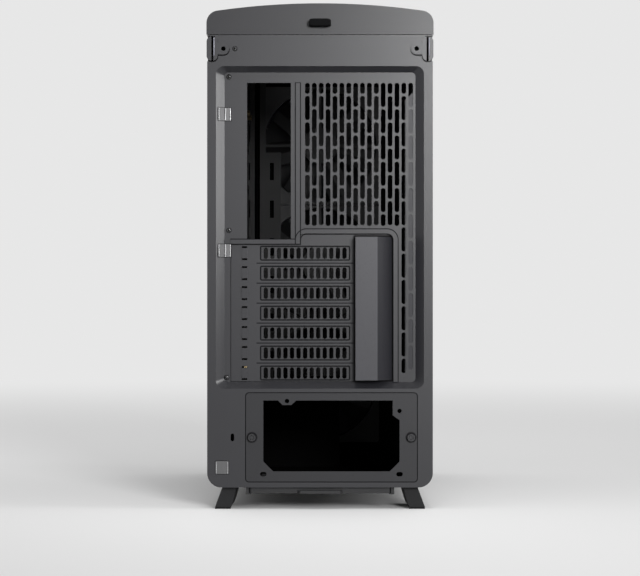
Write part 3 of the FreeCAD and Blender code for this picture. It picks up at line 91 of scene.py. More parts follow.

# Folds of the cable bar, as (across, back) from its edge at the tray, its groove, which carries painted
# shade, its two rows of slots, its cut-away, the strip behind it, a dark sheet that stands in for the shade
# behind the slots, and its colour as a share of the inner coat's.
BAR_FOLDS = np.array([(0, 0), (0.8, 0), (2.8, 0), (8, 0), (10.2, 4), (11.8, 4), (14, 0), (20.8, 0),
                      (25.4, 0), (30, 0), (38, 0)]) * MM
BAR_GROOVE = (8.0 * MM, 14.0 * MM)
BAR_SLOTS = ((0.8 * MM, 2.8 * MM), (25.4 * MM, 30.0 * MM))
BAR_CUT = 20.8 * MM
BAR_CUT_SHARE = 0.75
BAR_SHADE_STRIP = (22.0 * MM, 5.5 * MM), (33.0 * MM, 6.3 * MM)
BAR_SHARE = 1.6

# Lip of the grey pillar: its sheet, and how far it stops below the pillar's top.
LIP_SHEET = 1.0 * MM
LIP_SHORT = 10.0 * MM

# Strip behind the seam of the steel side, a dark sheet that stands in for the shade seen through the seam:
# its two faces inside the panel's side, its reach past the seam and its room above the floor pan.
SEAM_INSET = (1.2 * MM, 1.8 * MM)
SEAM_REACH = 5.0 * MM
SEAM_CLEAR = 0.3 * MM

# Small screw heads, as shares of their radius or dome: half width and half length of a cross's arm, the soft
# edge of each, the cross's depth, the dome's fall to its rim, and the height below which a head carries black
# painted shade.
CROSS_ARM = (0.17, 0.62)
CROSS_SOFT = (0.08, 0.10)
CROSS_DEPTH = 0.7
DOME_FALL = 0.55
SHADE_BELOW = 0.42

# Thumbscrew heads, as shares of radius and height from the seat to the dished end, and the knurled points.
THUMB_PROFILE = np.array([(0, 0), (0.82, 0), (1, 0.12), (1, 0.82), (0.9, 1), (0.55, 1), (0.45, 0.86),
                          (0, 0.86)])
THUMB_KNURLED = np.array([0, 0, 1, 1, 0, 0, 0, 0])
STEPS_PER_KNURL = 6

# Brushing, as stretches of the noise along x, y and z, and the thread pitch of the filters.
EVEN = (1.0, 1.0, 1.0)
ALONG_X = (0.1, 1.0, 1.0)
ALONG_Z = (1.0, 1.0, 0.1)
THREAD_PITCH = 0.9 * MM

# Shades of single finishes, as shares of the colour that each starts from.
# The shroud's shade darkens the deep inside sheets further: painted shade for the dark inside of the case.
SHROUD_SHADE = 0.5
PLATE_SHADE = 0.8
SHELL_SHADE = 0.8
MESH_SHADE = 0.5
FAN_SHADE = 0.5
FOOT_SHADE = 0.45
FILTER_SHADE = 0.6
TAB_SHADE = 0.6
PORT_SHADE = 4.6
# The next two make the clip lips and the lug beads lighter: painted highlights on their rounded edges.
LIP_HIGHLIGHT = 2.4
BEAD_HIGHLIGHT = 11.0
SCREW_SHADE = 0.6

# Half-round beads: points round one, and its height as a share of its radius.
BEAD_POINTS = 9
BEAD_HEIGHT = 0.8

# A clip is flat if its depth is less than this share of its width; the cloth fills this share of its room.
CLIP_FLAT = 0.25
CLOTH_FILL = 0.8

# Points closer than this are one point; a face within this of the outermost point is the outer face.
SAME_POINT = 0.01 * MM
SAME_FACE = 0.1 * MM
SAME_CORNER = 1e-3  # of a honeycomb's pitch

# Lamps, as name, place, target, size and spread in degrees.
LAMPS = (
    ("key", (0.72, -2.3, 0.76), (0.05, -0.2, 0.42), 0.6, 45),
    ("side", (1.6, -0.45, 0.66), (-0.1, -0.21, 0.38), 0.8, 42),
    ("top", (0.05, -0.81, 1.39), (0.0, -0.2, 0.13), 0.3, 30),
)
FLOOR_LINES = 9
SENSOR_WIDTH = 36.0

# These inner sheets take a darkened coat: painted shade for the dark inside of the case.
INNER_NODES = ("motherboard_tray", "roof_frame", "cable_bar")
LUG_NODES = ("steel_side_panel", "glass_panel_strip")
# Deep sheets inside take an even darker coat: more painted shade for the dark inside.
DEEP_SHADE_NODES = ("psu_shroud", "drive_cage", "front_frame", "floor_pan")
LOW_NODES = ("bottom_filter_frame", "filter_rails")
FOOT_NODES = ("foot_rear_left", "foot_rear_right", "foot_front_left", "foot_front_right")


def colour_setting(name, description, default):
    return bpy.props.FloatVectorProperty(
        name=name, description=description, subtype="COLOR", size=3, default=default, min=0, max=1)


def measure_setting(name, description, default, unit="LENGTH"):
    return bpy.props.FloatProperty(name=name, description=description, unit=unit, default=default)


def share_setting(name, description, default, most=1.0):
    return bpy.props.FloatProperty(name=name, description=description, default=default, min=0, max=most)


class CaseFinishSettings(bpy.types.PropertyGroup):
    """Colours and surface values of the finishes."""

    coat_colour: colour_setting(
        "Coat colour", "Anthracite powder coat of the steel", (0.0155, 0.0155, 0.0182))
    plastic_colour: colour_setting("Plastic colour", "Black moulded plastic", (0.028, 0.028, 0.030))
    rubber_colour: colour_setting(
        "Rubber colour", "Black rubber of pads, grommets and tab", (0.0045, 0.0045, 0.005))
    clip_colour: colour_setting("Clip colour", "Bright spring steel of the clips", (0.11, 0.11, 0.112))
    brass_colour: colour_setting("Brass colour", "Turned brass of the stand-offs", (0.26, 0.20, 0.11))
    glass_colour: colour_setting("Glass colour", "Dark tint of the side glass", (0.020, 0.021, 0.023))
    coat_roughness: share_setting("Coat roughness", "Roughness of the powder coat", 0.29)
    # The inside coat is darkened as painted shade for the dark inside of the case.
    inside_shade_share: share_setting("Inner coat", "Coat colour inside, as a share of the outer one", 0.12, 2.0)
    inner_roughness: share_setting("Inner roughness", "Roughness of the dull coat inside", 0.6)
    pillar_share: share_setting(
        "Pillar coat", "Coat colour of the grey pillar, as a share of the panel's", 1.3, 9.0)
    hood_share: share_setting(
        "Hood coat", "Coat colour of the slot hood, as a share of the panel's", 1.8, 3.0)
    glass_cover: share_setting("Glass cover", "Share of what lies behind the glass that its tint hides", 0.70)


class CasePieceSettings(bpy.types.PropertyGroup):
    """Sizes of the pieces that are modelled here."""

    front_cell: measure_setting("Front cell", "Pitch of the holes in the front mesh", 6.0 * MM)
    top_cell: measure_setting("Top cell", "Pitch of the holes in the top mesh", 6.0 * MM)
    cloth_share: share_setting(
        "Cloth share", "Share of the front mesh's thickness that is filter cloth", 0.3, 0.9)
    cell_open: share_setting("Cell opening", "Hole size as a share of its cell", 0.80, 0.95)
    knurl_count: bpy.props.IntProperty(
        name="Knurls", description="Grooves round a thumbscrew head", default=28, min=6, max=60)
    knurl_depth: measure_setting("Knurl depth", "Depth of the thumbscrew grooves", 0.35 * MM)
    tab_edge: measure_setting("Tab edge", "Rounding of the pull tab's outer end", 1.6 * MM)
    lip_radius: measure_setting("Clip lip", "Radius of the rolled lips on the bright clips", 0.7 * MM)
    bead_radius: measure_setting("Lug bead", "Radius of the bead beside a lug's slit", 0.6 * MM)
    bar_pitch: measure_setting("Bar pitch", "From slot to slot up the cable bar", 42.0 * MM)
    bar_slot: measure_setting("Bar slot", "Length of a slot in the cable bar", 20.0 * MM)
    lip_width: measure_setting("Pillar lip", "Width of the lip on the grey pillar", 2.0 * MM)
    clip_thickness: measure_setting("Clip sheet", "Thickness of the bright clips", 0.6 * MM)
    dome_height: measure_setting("Screw dome", "Height of the small screw heads", 1.1 * MM)


class CaseStageSettings(bpy.types.PropertyGroup):
    """Floor, lamps and camera."""

    backdrop: share_setting("Backdrop", "Brightness of the backdrop, which lights the case", 0.80)
    floor_colour: colour_setting("Floor colour", "Pale studio floor", (0.79, 0.79, 0.79))
    floor_reach: measure_setting("Floor reach", "From the middle of the floor to its edge", 40.0)
    fade_start: measure_setting("Fade start", "Where the floor starts to fade into the backdrop", 1.0)
    fade_end: measure_setting("Fade end", "Where the floor is as bright as the backdrop", 3.0)
    camera_distance: measure_setting("Camera distance", "From the rear panel to the camera", 2.196)
    camera_height: measure_setting("Camera height", "Above the floor", 0.2244)
    focal_length: bpy.props.FloatProperty(
        name="Focal length", description="Lens in millimetres on a 36 mm sensor", default=122.0)
    key_power: measure_setting("Key lamp", "Power of the soft lamp at the upper right", 3.6, "POWER")
    side_power: measure_setting("Side lamp", "Power of the soft lamp at the right", 1.15, "POWER")
    top_power: measure_setting("Top lamp", "Power of the soft lamp over the rear panel", 0.12, "POWER")


class Value:
    """One socket of a material's nodes; arithmetic on it adds Math nodes."""

    def __init__(self, finish, socket):
        self.finish = finish
        self.socket = socket

    def math(self, operation, *others):
        return self.finish.node("ShaderNodeMath", {"operation": operation}, dict(enumerate((self,) + others)))

    def __add__(self, other):
        return self.math("ADD", other)

    def __sub__(self, other):
        return self.math("SUBTRACT", other)

    def __mul__(self, other):
        return self.math("MULTIPLY", other)

    def __rsub__(self, other):
        return self.finish.node("ShaderNodeMath", {"operation": "SUBTRACT"}, {0: other, 1: self})

    __radd__ = __add__
    __rmul__ = __mul__

    def above(self, edge):
        return self.math("GREATER_THAN", edge)

    def below(self, edge):
        return self.math("LESS_THAN", edge)

    def between(self, low, high):
        return self.above(low) * self.below(high)

    def absolute(self):
        return self.math("ABSOLUTE")

    def most(self, other):
        return self.math("MAXIMUM", other)

    def least(self, other):
        return self.math("MINIMUM", other)

    def fade(self, near, far):
        """1 up to near, falling smoothly to 0 at far."""
        inputs = {"Value": self, "From Min": near, "From Max": far, "To Min": 1.0, "To Max": 0.0}
        return self.finish.node("ShaderNodeMapRange", {"interpolation_type": "SMOOTHSTEP"}, inputs)

    def ramp(self, low, high):
        """low where the value is 0, and high where it is 1."""
        return low + (high - low) * self


class Finish:
    """A material in the making, with one Principled shader."""

    def __init__(self, name):
        self.material = bpy.data.materials.new(name)
        self.material.use_nodes = True
        self.tree = self.material.node_tree
        self.tree.nodes.clear()
        self.shader = self.tree.nodes.new("ShaderNodeBsdfPrincipled")
        self.output = self.tree.nodes.new("ShaderNodeOutputMaterial")
        self.tree.links.new(self.shader.outputs[0], self.output.inputs["Surface"])
        self.place = self.node("ShaderNodeTexCoord", {}, {}, "Object")

    def node(self, kind, settings, inputs, output=0):
        """New node: its settings first, then the values or links of its sockets."""
        made = self.tree.nodes.new(kind)
        for key, value in settings.items():
            setattr(made, key, value)
        for key, value in inputs.items():
            self.feed(made.inputs[key], value)
        return Value(self, made.outputs[output])

    def feed(self, socket, value):
        if isinstance(value, Value):
            self.tree.links.new(value.socket, socket)
        else:
            socket.default_value = value

    def surface(self, **inputs):
        """Sets the Principled shader's sockets; underscores stand for spaces."""
        for key, value in inputs.items():
            self.feed(self.shader.inputs[key.replace("_", " ")], value)

    def noise(self, scale, detail, stretch=EVEN):
        place = self.place
        if stretch != EVEN:
            place = self.node("ShaderNodeMapping", {}, {"Vector": place, "Scale": stretch})
        return self.node("ShaderNodeTexNoise", {}, {"Vector": place, "Scale": scale, "Detail": detail}, "Fac")

    def shades(self, factor, colour, dark, light):
        """A colour between two shades of itself; the Mix node's colour sockets are 6 and 7, and its colour is
        output 2."""
        inputs = {0: factor, 6: shade(colour, dark) + (1,), 7: shade(colour, light) + (1,)}
        return self.node("ShaderNodeMix", {"data_type": "RGBA"}, inputs, 2)

    def paint_shade(self, mask, colour, cover, dark):
        """Painted shade: a dark shade of the colour without gloss, as deep in a crease, laid over a share of
        the first coat where mask is 1."""
        inputs = {"Base Color": shade(colour, dark) + (1,), "Roughness": 0.9, "Specular IOR Level": 0.0}
        self.lay(cover * mask, self.node("ShaderNodeBsdfPrincipled", {}, inputs))

    def lay(self, mask, second):
        """Puts a second shader over the first where mask is 1."""
        plain = Value(self, self.shader.outputs[0])
        mixed = self.node("ShaderNodeMixShader", {}, {0: mask, 1: plain, 2: second})
        self.tree.links.new(mixed.socket, self.output.inputs["Surface"])

    def bump(self, height, strength, distance):
        inputs = {"Height": height, "Strength": strength, "Distance": distance}
        self.surface(Normal=self.node("ShaderNodeBump", {}, inputs))

    def axis(self, index):
        """One coordinate of the object, in metres."""
        return self.node("ShaderNodeSeparateXYZ", {}, {0: self.place}, index)


def shade(colour, factor):
    """A colour made darker or lighter."""
    return tuple(min(1.0, c * factor) for c in colour)


def most_of(masks):
    """Where any of the masks is set."""
    most = masks[0]
    for mask in masks[1:]:
        most = most.most(mask)
    return most


def powder_coat(name, colour, roughness, gloss=0.5):
    """Satin powder coat: faint cloudiness, and a fine orange-peel bump."""
    finish = Finish(name)
    cloud = finish.noise(scale=35.0, detail=3.0)
    peel = finish.noise(scale=1500.0, detail=2.0)
    finish.surface(
        Base_Color=finish.shades(cloud, colour, dark=0.94, light=1.06),
        Roughness=peel.ramp(roughness - 0.04, roughness + 0.04),
        Specular_IOR_Level=gloss)
    finish.bump(peel, strength=0.10, distance=0.08 * MM)
    return finish


def moulded_plastic(name, colour, roughness, gloss=0.5):
    """Spark-eroded plastic: a fine grain and slight flow marks."""
    finish = Finish(name)
    grain = finish.noise(scale=2600.0, detail=1.0)
    flow = finish.noise(scale=22.0, detail=2.0, stretch=(1.0, 1.0, 0.25))
    finish.surface(
        Base_Color=finish.shades(flow, colour, dark=0.88, light=1.15),
        Roughness=grain.ramp(roughness - 0.06, roughness + 0.06),
        Specular_IOR_Level=gloss)
    finish.bump(grain, strength=0.18, distance=0.06 * MM)
    return finish


def matt_rubber(name, colour, gloss=0.15):
    """Matt rubber: dusty bloom over a fine grain."""
    finish = Finish(name)
    bloom = finish.noise(scale=60.0, detail=4.0)
    grain = finish.noise(scale=1800.0, detail=1.0)
    finish.surface(
        Base_Color=finish.shades(bloom, colour, dark=0.8, light=1.6),
        Roughness=bloom.ramp(0.70, 0.85),
        Specular_IOR_Level=gloss)
    finish.bump(grain, strength=0.15, distance=0.06 * MM)
    return finish


def brushed_metal(name, colour, roughness, stretch):
    """Bare metal with fine brushing along one axis."""
    finish = Finish(name)
    lines = finish.noise(scale=900.0, detail=3.0, stretch=stretch)
    finish.surface(
        Base_Color=finish.shades(lines, colour, dark=0.82, light=1.1),
        Metallic=1.0,
        Roughness=lines.ramp(roughness - 0.05, roughness + 0.09))
    finish.bump(lines, strength=0.12, distance=0.04 * MM)
    return finish


def black_zinc(name, colour):
    """Black-plated screws: dark metal with worn sheen."""
    finish = Finish(name)
    wear = finish.noise(scale=700.0, detail=3.0)
    finish.surface(
        Base_Color=finish.shades(wear, colour, dark=0.8, light=2.2),
        Metallic=0.6,
        Roughness=wear.ramp(0.34, 0.50))
    return finish


def tinted_glass(name, colour, cover):
    """Dark tempered glass: its tint hides most of what lies behind, and its face reflects cleanly."""
    finish = Finish(name)
    smear = finish.noise(scale=9.0, detail=3.0)
    finish.surface(
        Base_Color=finish.shades(smear, colour, dark=0.9, light=1.1),
        Roughness=smear.ramp(0.03, 0.06),
        Alpha=smear.ramp(cover - 0.01, cover + 0.01),
        Coat_Weight=0.6,
        Coat_Roughness=0.02)
    return finish


def filter_weave(name, colour, axes):
    """Fine nylon weave, as threads that cross along two axes."""
    finish = Finish(name)
    warp, weft = ((finish.axis(axis) * (2 * math.pi / THREAD_PITCH)).math("SINE") for axis in axes)
    weave = 0.5 + 0.25 * (warp + weft)
    finish.surface(Base_Color=finish.shades(weave, colour, dark=0.6, light=2.0), Roughness=0.8)
    finish.bump(weave, strength=0.5, distance=0.2 * MM)
    return finish


def edge_distance(x, z, low, high, radius=0.0):
    """Distance outside a rounded rectangle's edge, and less than 0 inside it: how far the point lies past the
    inner rectangle on each axis, joined by Pythagoras, less the corner radius."""
    middle = [(a + b) / 2 for a, b in zip(low, high)]
    half = [(b - a) / 2 - radius for a, b in zip(low, high)]
    across = (x - middle[0]).absolute() - half[0]
    along = (z - middle[1]).absolute() - half[1]
    past = across.most(0.0), along.most(0.0)
    outside = (past[0] * past[0] + past[1] * past[1]).math("SQRT")
    return outside + across.most(along).least(0.0) - radius


def round_distance(x, z, middle, radius):
    """Distance outside a circle round a point, as the rear view shows it."""
    corner = [middle[a] - radius for a in (0, 2)], [middle[a] + radius for a in (0, 2)]
    return edge_distance(x, z, *corner, radius)


def slot_rows():
    """Height of the lowest and the highest expansion opening, and the pitch between two."""
    low, high = (sum(corner.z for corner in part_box(f"slot_cover_{i}")) / 2 for i in (SLOT_COUNT, 1))
    return low, high, (high - low) / (SLOT_COUNT - 1)


def slot_distance(finish):
    """Distance outside the nearest expansion opening; the openings repeat up the panel at one pitch."""
    low, _, pitch = slot_rows()
    x, z = finish.axis(0), finish.axis(2)
    step = ((z - low) * (1 / pitch)).math("ROUND").most(0.0).least(SLOT_COUNT - 1.0)
    rise = z - low - step * pitch
    return edge_distance(x, rise, (SLOT_X[0], -SLOT_HIGH / 2), (SLOT_X[1], SLOT_HIGH / 2), SLOT_EASE)


def flat_box(node):
    """A node's corners as the rear view shows them."""
    low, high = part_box(node)
    return (low.x, low.z), (high.x, high.z)


def rear_panel_coat(name, colour, roughness):
    """Powder coat with painted shade in the panel's creases: round the slots and between them, along the
    pressed rib, in the gap of the supply plate, under the hood and the lugs, and round the screws and clips.
    Under the hood and the lugs it is a painted shadow."""
    finish = powder_coat(name, colour, roughness)
    x, z = finish.axis(0), finish.axis(2)
    low, high, pitch = slot_rows()
    step = (z - low) * (1 / pitch) - 0.5
    webs = z.between(low, high) * x.between(SLOT_X[0] - WEB_PAST[0], SLOT_X[1] + WEB_PAST[1])
    zone = edge_distance(x, z, *ZONE_WIDE).least(edge_distance(x, z, *ZONE_TALL, ZONE_EASE))
    field = x.above(ZONE_WIDE[0][0]) * z.above(ZONE_WIDE[0][1])
    shade_lines = [
        slot_distance(finish).absolute().fade(*CREASE),
        ((step - step.math("ROUND")).absolute() * pitch).fade(*CREASE) * webs,
        zone.absolute().fade(*CREASE) * field,
        (zone - RIB_WIDE).absolute().fade(*CREASE) * field,
        edge_distance(x, z, *RIB_POST).absolute().fade(*CREASE),
        edge_distance(x, z, *flat_box("psu_bracket"), PLATE_EASE).absolute().fade(*GAP),
        edge_distance(x, z, *flat_box("slot_lock_cover")).fade(*SHADOW) * zone.below(0.0)]
    # The lug lines are a painted shadow, set a little below each lug.
    drop = z + LUG_DROP
    for side in (-1, 1):
        u = side * x
        lug = edge_distance(u, drop, *LUG_LEAF, LUG_ROUND)
        shade_lines.append(lug.least(edge_distance(u, drop, *LUG_EAR, EAR_ROUND)).fade(*CREASE))
    for middle, half in node_centres("panel_screws"):
        shade_lines.append(round_distance(x, z, middle, half[0]).fade(*CREASE))
    for middle, half in node_centres("panel_clips"):
        corners = [(side[0], side[2]) for side in (middle - half, middle + half)]
        shade_lines.append(edge_distance(x, z, *corners).fade(*CREASE))
    finish.paint_shade(most_of(shade_lines), colour, cover=0.88, dark=0.15)
    return finish


def slot_cover_coat(name, colour, roughness):
    """Powder coat with painted shade where a slot cover meets the edge of its opening, and all over where it
    lies behind the panel.
    """
    finish = powder_coat(name, colour, roughness)
    inside = 0.0 - slot_distance(finish)
    finish.paint_shade(inside.fade(*RIM), colour, cover=0.9, dark=0.12)
    return finish


def lug_coat(name, colour, roughness):
    """Powder coat with black painted shade down in the slit of a folded lug."""
    finish = powder_coat(name, colour, roughness)
    x, y, z = finish.axis(0).absolute(), finish.axis(1), finish.axis(2)
    slit = x.between(*LUG_SLIT) * z.above(LUG_LEAF[0][1] - LUG_DROP)
    finish.paint_shade(slit * y.below(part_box("rear_panel")[0].y + LUG_DEEP), colour, cover=1.0, dark=0.05)
    return finish


def plate_coat(name, colour, roughness):
    """Powder coat with painted shade round the thumbscrews, where their heads shade the plate."""
    finish = powder_coat(name, colour, roughness, gloss=0.45)
    x, z = finish.axis(0), finish.axis(2)
    screws = node_centres("psu_thumbscrews")
    seats = [round_distance(x, z, middle, half[0]).fade(*SEAT) for middle, half in screws]
    finish.paint_shade(most_of(seats), colour, cover=0.75, dark=0.2)
    return finish


def pillar_coat(name, looks):
    """Lighter coat of the grey pillar."""
    return powder_coat(name, shade(looks.coat_colour, looks.pillar_share), looks.coat_roughness, gloss=0.28)


def inner_coat(name, looks):
    """Dull coat of the sheets inside, made darker as painted shade for the dark inside of the case."""
    return powder_coat(name, shade(looks.coat_colour, looks.inside_shade_share), looks.inner_roughness, gloss=0.2)


def bar_coat(name, looks, corner):
    """Dull coat of the cable bar, darkened as painted shade for the inside, with black painted shade in its
    groove and on the strip behind its slots.
    """
    colour = shade(looks.coat_colour, BAR_SHARE * looks.inside_shade_share)
    finish = powder_coat(name, colour, looks.inner_roughness, gloss=0.3)
    groove = finish.axis(0).between(corner.x + BAR_GROOVE[0], corner.x + BAR_GROOVE[1])
    behind = finish.axis(1).above(corner.y + BAR_SHADE_STRIP[0][1] - SAME_FACE)
    finish.paint_shade(groove.most(behind), colour, cover=0.95, dark=0.1)
    return finish


def cross_steel(name, colour, dome):
    """Bare metal with black painted shade down in the cross of each screw head and at the foot of its rim."""
    finish = brushed_metal(name, colour, roughness=0.2, stretch=EVEN)
    x, y, z = (finish.axis(i) for i in range(3))
    recess_shade = []
    for middle, half in node_centres("panel_screws"):
        low = y.above(float(middle[1] + half[1]) - SHADE_BELOW * dome)
        recess_shade.append(round_distance(x, z, middle, half[0]).below(CREASE[0]) * low)
    finish.paint_shade(most_of(recess_shade), colour, cover=0.9, dark=0.05)
    return finish


def hood_coat(name, colour, roughness, edge):
    """Powder coat with painted shade on its sloped side, past the edge."""
    finish = powder_coat(name, colour, roughness)
    finish.paint_shade(finish.axis(0).above(edge), colour, cover=0.8, dark=0.5)
    return finish


def grid_faces(rows, columns, wrap_rows=False, wrap_columns=False):
    """Quads of a grid whose points are stored row by row."""
    i = np.arange(rows if wrap_rows else rows - 1)[:, None]
    j = np.arange(columns if wrap_columns else columns - 1)[None, :]
    below, beside = (i + 1) % rows, (j + 1) % columns
    quads = [i * columns + j, i * columns + beside, below * columns + beside, below * columns + j]
    return np.stack(np.broadcast_arrays(*quads), -1).reshape(-1, 4)


def new_piece(name, points, faces, finish, body, slot, replaces=(), smooth=True):
    """Mesh object from whole arrays of points and quads, riding on a body."""
    points = np.asarray(points, np.float32).reshape(-1, 3)
    faces = np.asarray(faces, np.int32)
    mesh = bpy.data.meshes.new(name)
    mesh.vertices.add(len(points))
    mesh.vertices.foreach_set("co", points.ravel())
    mesh.loops.add(faces.size)
    mesh.loops.foreach_set("vertex_index", faces.ravel())
    mesh.polygons.add(len(faces))
    sides = faces.shape[1]
    mesh.polygons.foreach_set("loop_start", np.arange(len(faces), dtype=np.int32) * sides)
    mesh.polygons.foreach_set("use_smooth", np.full(len(faces), smooth))
    mesh.update(calc_edges=True)
    mesh.validate()
    mesh.materials.append(finish.material)
    piece = bpy.data.objects.new(name, mesh)
    bpy.context.scene.collection.objects.link(piece)
    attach(piece, body)
    if replaces:
        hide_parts(*replaces)


def thicken(points, faces, shift):
    """Closed plate from an open sheet of quads: the sheet, its copy moved by shift and turned over, and a
    wall along each edge that only one quad has."""
    count = len(points)
    edges = np.stack([faces, np.roll(faces, -1, 1)], -1).reshape(-1, 2)
    _, where, uses = np.unique(np.sort(edges, 1), axis=0, return_index=True, return_counts=True)
    rim = edges[where[uses == 1]]
    walls = np.stack([rim[:, 1], rim[:, 0], rim[:, 0] + count, rim[:, 1] + count], -1)
    return np.concatenate([points, points + shift]), np.concatenate([faces, faces[:, ::-1] + count, walls])


def honeycomb(width, length, pitch, opening, thickness):
    """Flat plate of six-sided holes, centred on the origin.

    Cell centres lie on a triangular lattice of the given pitch. Each cell is the ring between a hexagon that
    tiles the plane and the same hexagon shrunk by opening. The sheet of rings is then made thick.
    Returns points (u, v, w) and quads.
    """
    row = pitch * math.sqrt(0.75)
    columns, rows = int(width / pitch) - 1, int(length / row) - 1
    j, i = np.meshgrid(np.arange(rows), np.arange(columns), indexing="ij")
    centre = np.stack([(i - (columns - 0.5) / 2 + 0.5 * (j % 2)) * pitch, (j - (rows - 1) / 2) * row], -1)
    turn = np.radians(30 + 60 * np.arange(6))
    hexagon = np.stack([np.cos(turn), np.sin(turn)], -1) * pitch / math.sqrt(3)
    centre = centre.reshape(-1, 1, 2)
    rim, hole = centre + hexagon, centre + opening * hexagon
    flat = np.concatenate([rim, hole], 1)
    count = len(flat)
    flat = flat.reshape(-1, 2)
    keys = np.round(flat / (pitch * SAME_CORNER)).astype(np.int64)
    _, first, same = np.unique(keys, axis=0, return_index=True, return_inverse=True)
    flat, same = flat[first], same.reshape(count, 12)
    k, n = np.arange(6), (np.arange(6) + 1) % 6
    cells = np.stack([same[:, k], same[:, n], same[:, 6 + n], same[:, 6 + k]], -1).reshape(-1, 4)
    return thicken(np.c_[flat, np.full(len(flat), thickness / 2)], cells, (0, 0, -thickness))


def box_shell(low, high):
    """Closed box between two corners: its eight corner points and six sides."""
    corners = np.stack(np.meshgrid(*np.array([low, high]).T, indexing="ij"), -1).reshape(-1, 3)
    sides = [[0, 1, 3, 2], [4, 6, 7, 5], [0, 4, 5, 1], [2, 3, 7, 6], [0, 2, 6, 4], [1, 5, 7, 3]]
    return corners, np.array(sides)


def bead(x, y, low, high, radius):
    """Upright half-round bead on a face that looks to the rear: half a circle carried from low to high, drawn
    in at both ends to close it."""
    turn = np.linspace(0, math.pi, BEAD_POINTS)[None, :]
    rise = np.array([low, low + radius / 2, high - radius / 2, high])[:, None]
    swell = radius * np.array([0, 1, 1, 0])[:, None]
    u, v = x + swell * np.cos(turn), y - BEAD_HEIGHT * swell * np.sin(turn)
    points = np.stack([u, v, np.broadcast_to(rise, u.shape)], -1).reshape(-1, 3)
    return points, grid_faces(*u.shape, wrap_columns=True)


def joined(parts):
    """One mesh from several parts, each of points and quads."""
    starts = np.cumsum([0] + [len(points) for points, _ in parts[:-1]])
    points = np.concatenate([points for points, _ in parts])
    return points, np.concatenate([faces + start for (_, faces), start in zip(parts, starts)])


def lathe(profile, turns, ripple):
    """Closed body of revolution about w: each profile point (radius, height) is swept round turns steps, and
    the radius is multiplied by ripple, an array over the turns by profile points."""
    profile = np.asarray(profile, float)
    angle = np.linspace(0, 2 * math.pi, turns, endpoint=False)
    radius = profile[None, :, 0] * ripple
    u = radius * np.cos(angle)[:, None]
    v = radius * np.sin(angle)[:, None]
    w = np.broadcast_to(profile[None, :, 1], u.shape)
    points = np.stack([u, v, w], -1).reshape(-1, 3)
    return points, grid_faces(turns, len(profile), wrap_rows=True)


def node_points(node):
    """Points of a CAD node's mesh, in metres."""
    mesh = frame["nodes"][node].data
    points = np.zeros(len(mesh.vertices) * 3)
    mesh.vertices.foreach_get("co", points)
    return points.reshape(-1, 3)


def node_centres(node):
    """Centre and half size of each separate solid in a CAD node, found by joining its touching points."""
    mesh = frame["nodes"][node].data
    points = node_points(node)
    _, same = np.unique(np.round(points / SAME_POINT).astype(np.int64), axis=0, return_inverse=True)
    same = same.ravel()
    loops = np.zeros(len(mesh.loops), np.int32)
    mesh.loops.foreach_get("vertex_index", loops)
    triangles = same[loops].reshape(-1, 3)
    label = np.arange(same.max() + 1)
    for _ in range(len(label)):
        low = label[triangles].min(1)
        new = label.copy()
        for side in range(3):
            np.minimum.at(new, triangles[:, side], low)
        if (new == label).all():
            break
        label = new
    groups = label[same]
    boxes = [(points[groups == g].min(0), points[groups == g].max(0)) for g in np.unique(groups)]
    return [((low + high) / 2, (high - low) / 2) for low, high in boxes]


def settings():
    """The three groups of settings."""
    scene = bpy.context.scene
    return scene.case_finish, scene.case_piece, scene.case_stage


def dress(finish, nodes):
    """Gives CAD nodes a finish through their material slots."""
    for node in nodes:
        slots = frame["nodes"][node].material_slots
        if not slots:
            raise RuntimeError(f"{node} has no material slot")
        for entry in slots:
            entry.material = finish.material


def nodes_in_slot(*names):
    """CAD nodes whose material slot is one of names."""
    return [p["node"] for p in frame["record"]["subparts"] if p["material_slot"] in names]


class CASE_OT_steel(bpy.types.Operator):
    """Powder coat on every folded steel piece"""

    bl_idname = "case.steel"
    bl_label = "Coat the steel"

    def execute(self, context):
        looks = settings()[0]
        colour, roughness = looks.coat_colour, looks.coat_roughness
        dress(powder_coat("powder_coat", colour, roughness), nodes_in_slot("powder_coat"))
        dress(inner_coat("inner_coat", looks), INNER_NODES)
        # The shroud coat is darker still and nearly without gloss: painted shade for the deep inside.
        shroud_shade_colour = shade(colour, SHROUD_SHADE * looks.inside_shade_share)
        dress(powder_coat("shroud_coat", shroud_shade_colour, roughness=0.8, gloss=0.05), DEEP_SHADE_NODES)
        dress(pillar_coat("pillar_coat", looks), ["rear_pillar"])
        dress(plate_coat("plate_coat", shade(colour, PLATE_SHADE), roughness), ["psu_bracket"])
        dress(lug_coat("lug_coat", colour, roughness), LUG_NODES)
        dress(rear_panel_coat("rear_panel_coat", colour, roughness), ["rear_panel"])
        covers = [f"slot_cover_{i + 1}" for i in range(SLOT_COUNT)]
        dress(slot_cover_coat("slot_cover_coat", colour, roughness), covers)
        points = node_points("slot_lock_cover")
        edge = float(points[points[:, 1] < points[:, 1].min() + SAME_FACE, 0].max())
        hood = hood_coat("hood_coat", shade(colour, looks.hood_share), roughness, edge)
        dress(hood, ["slot_lock_cover"])
        return {"FINISHED"}


class CASE_OT_shells(bpy.types.Operator):
    """Paint on the top cover and front panel"""

    bl_idname = "case.shells"
    bl_label = "Paint the shells"

    def execute(self, context):
        looks = settings()[0]
        colour = shade(looks.coat_colour, SHELL_SHADE)
        paint = powder_coat("shell_paint", colour, looks.coat_roughness, gloss=0.45)
        dress(paint, nodes_in_slot("cover_paint"))
        return {"FINISHED"}


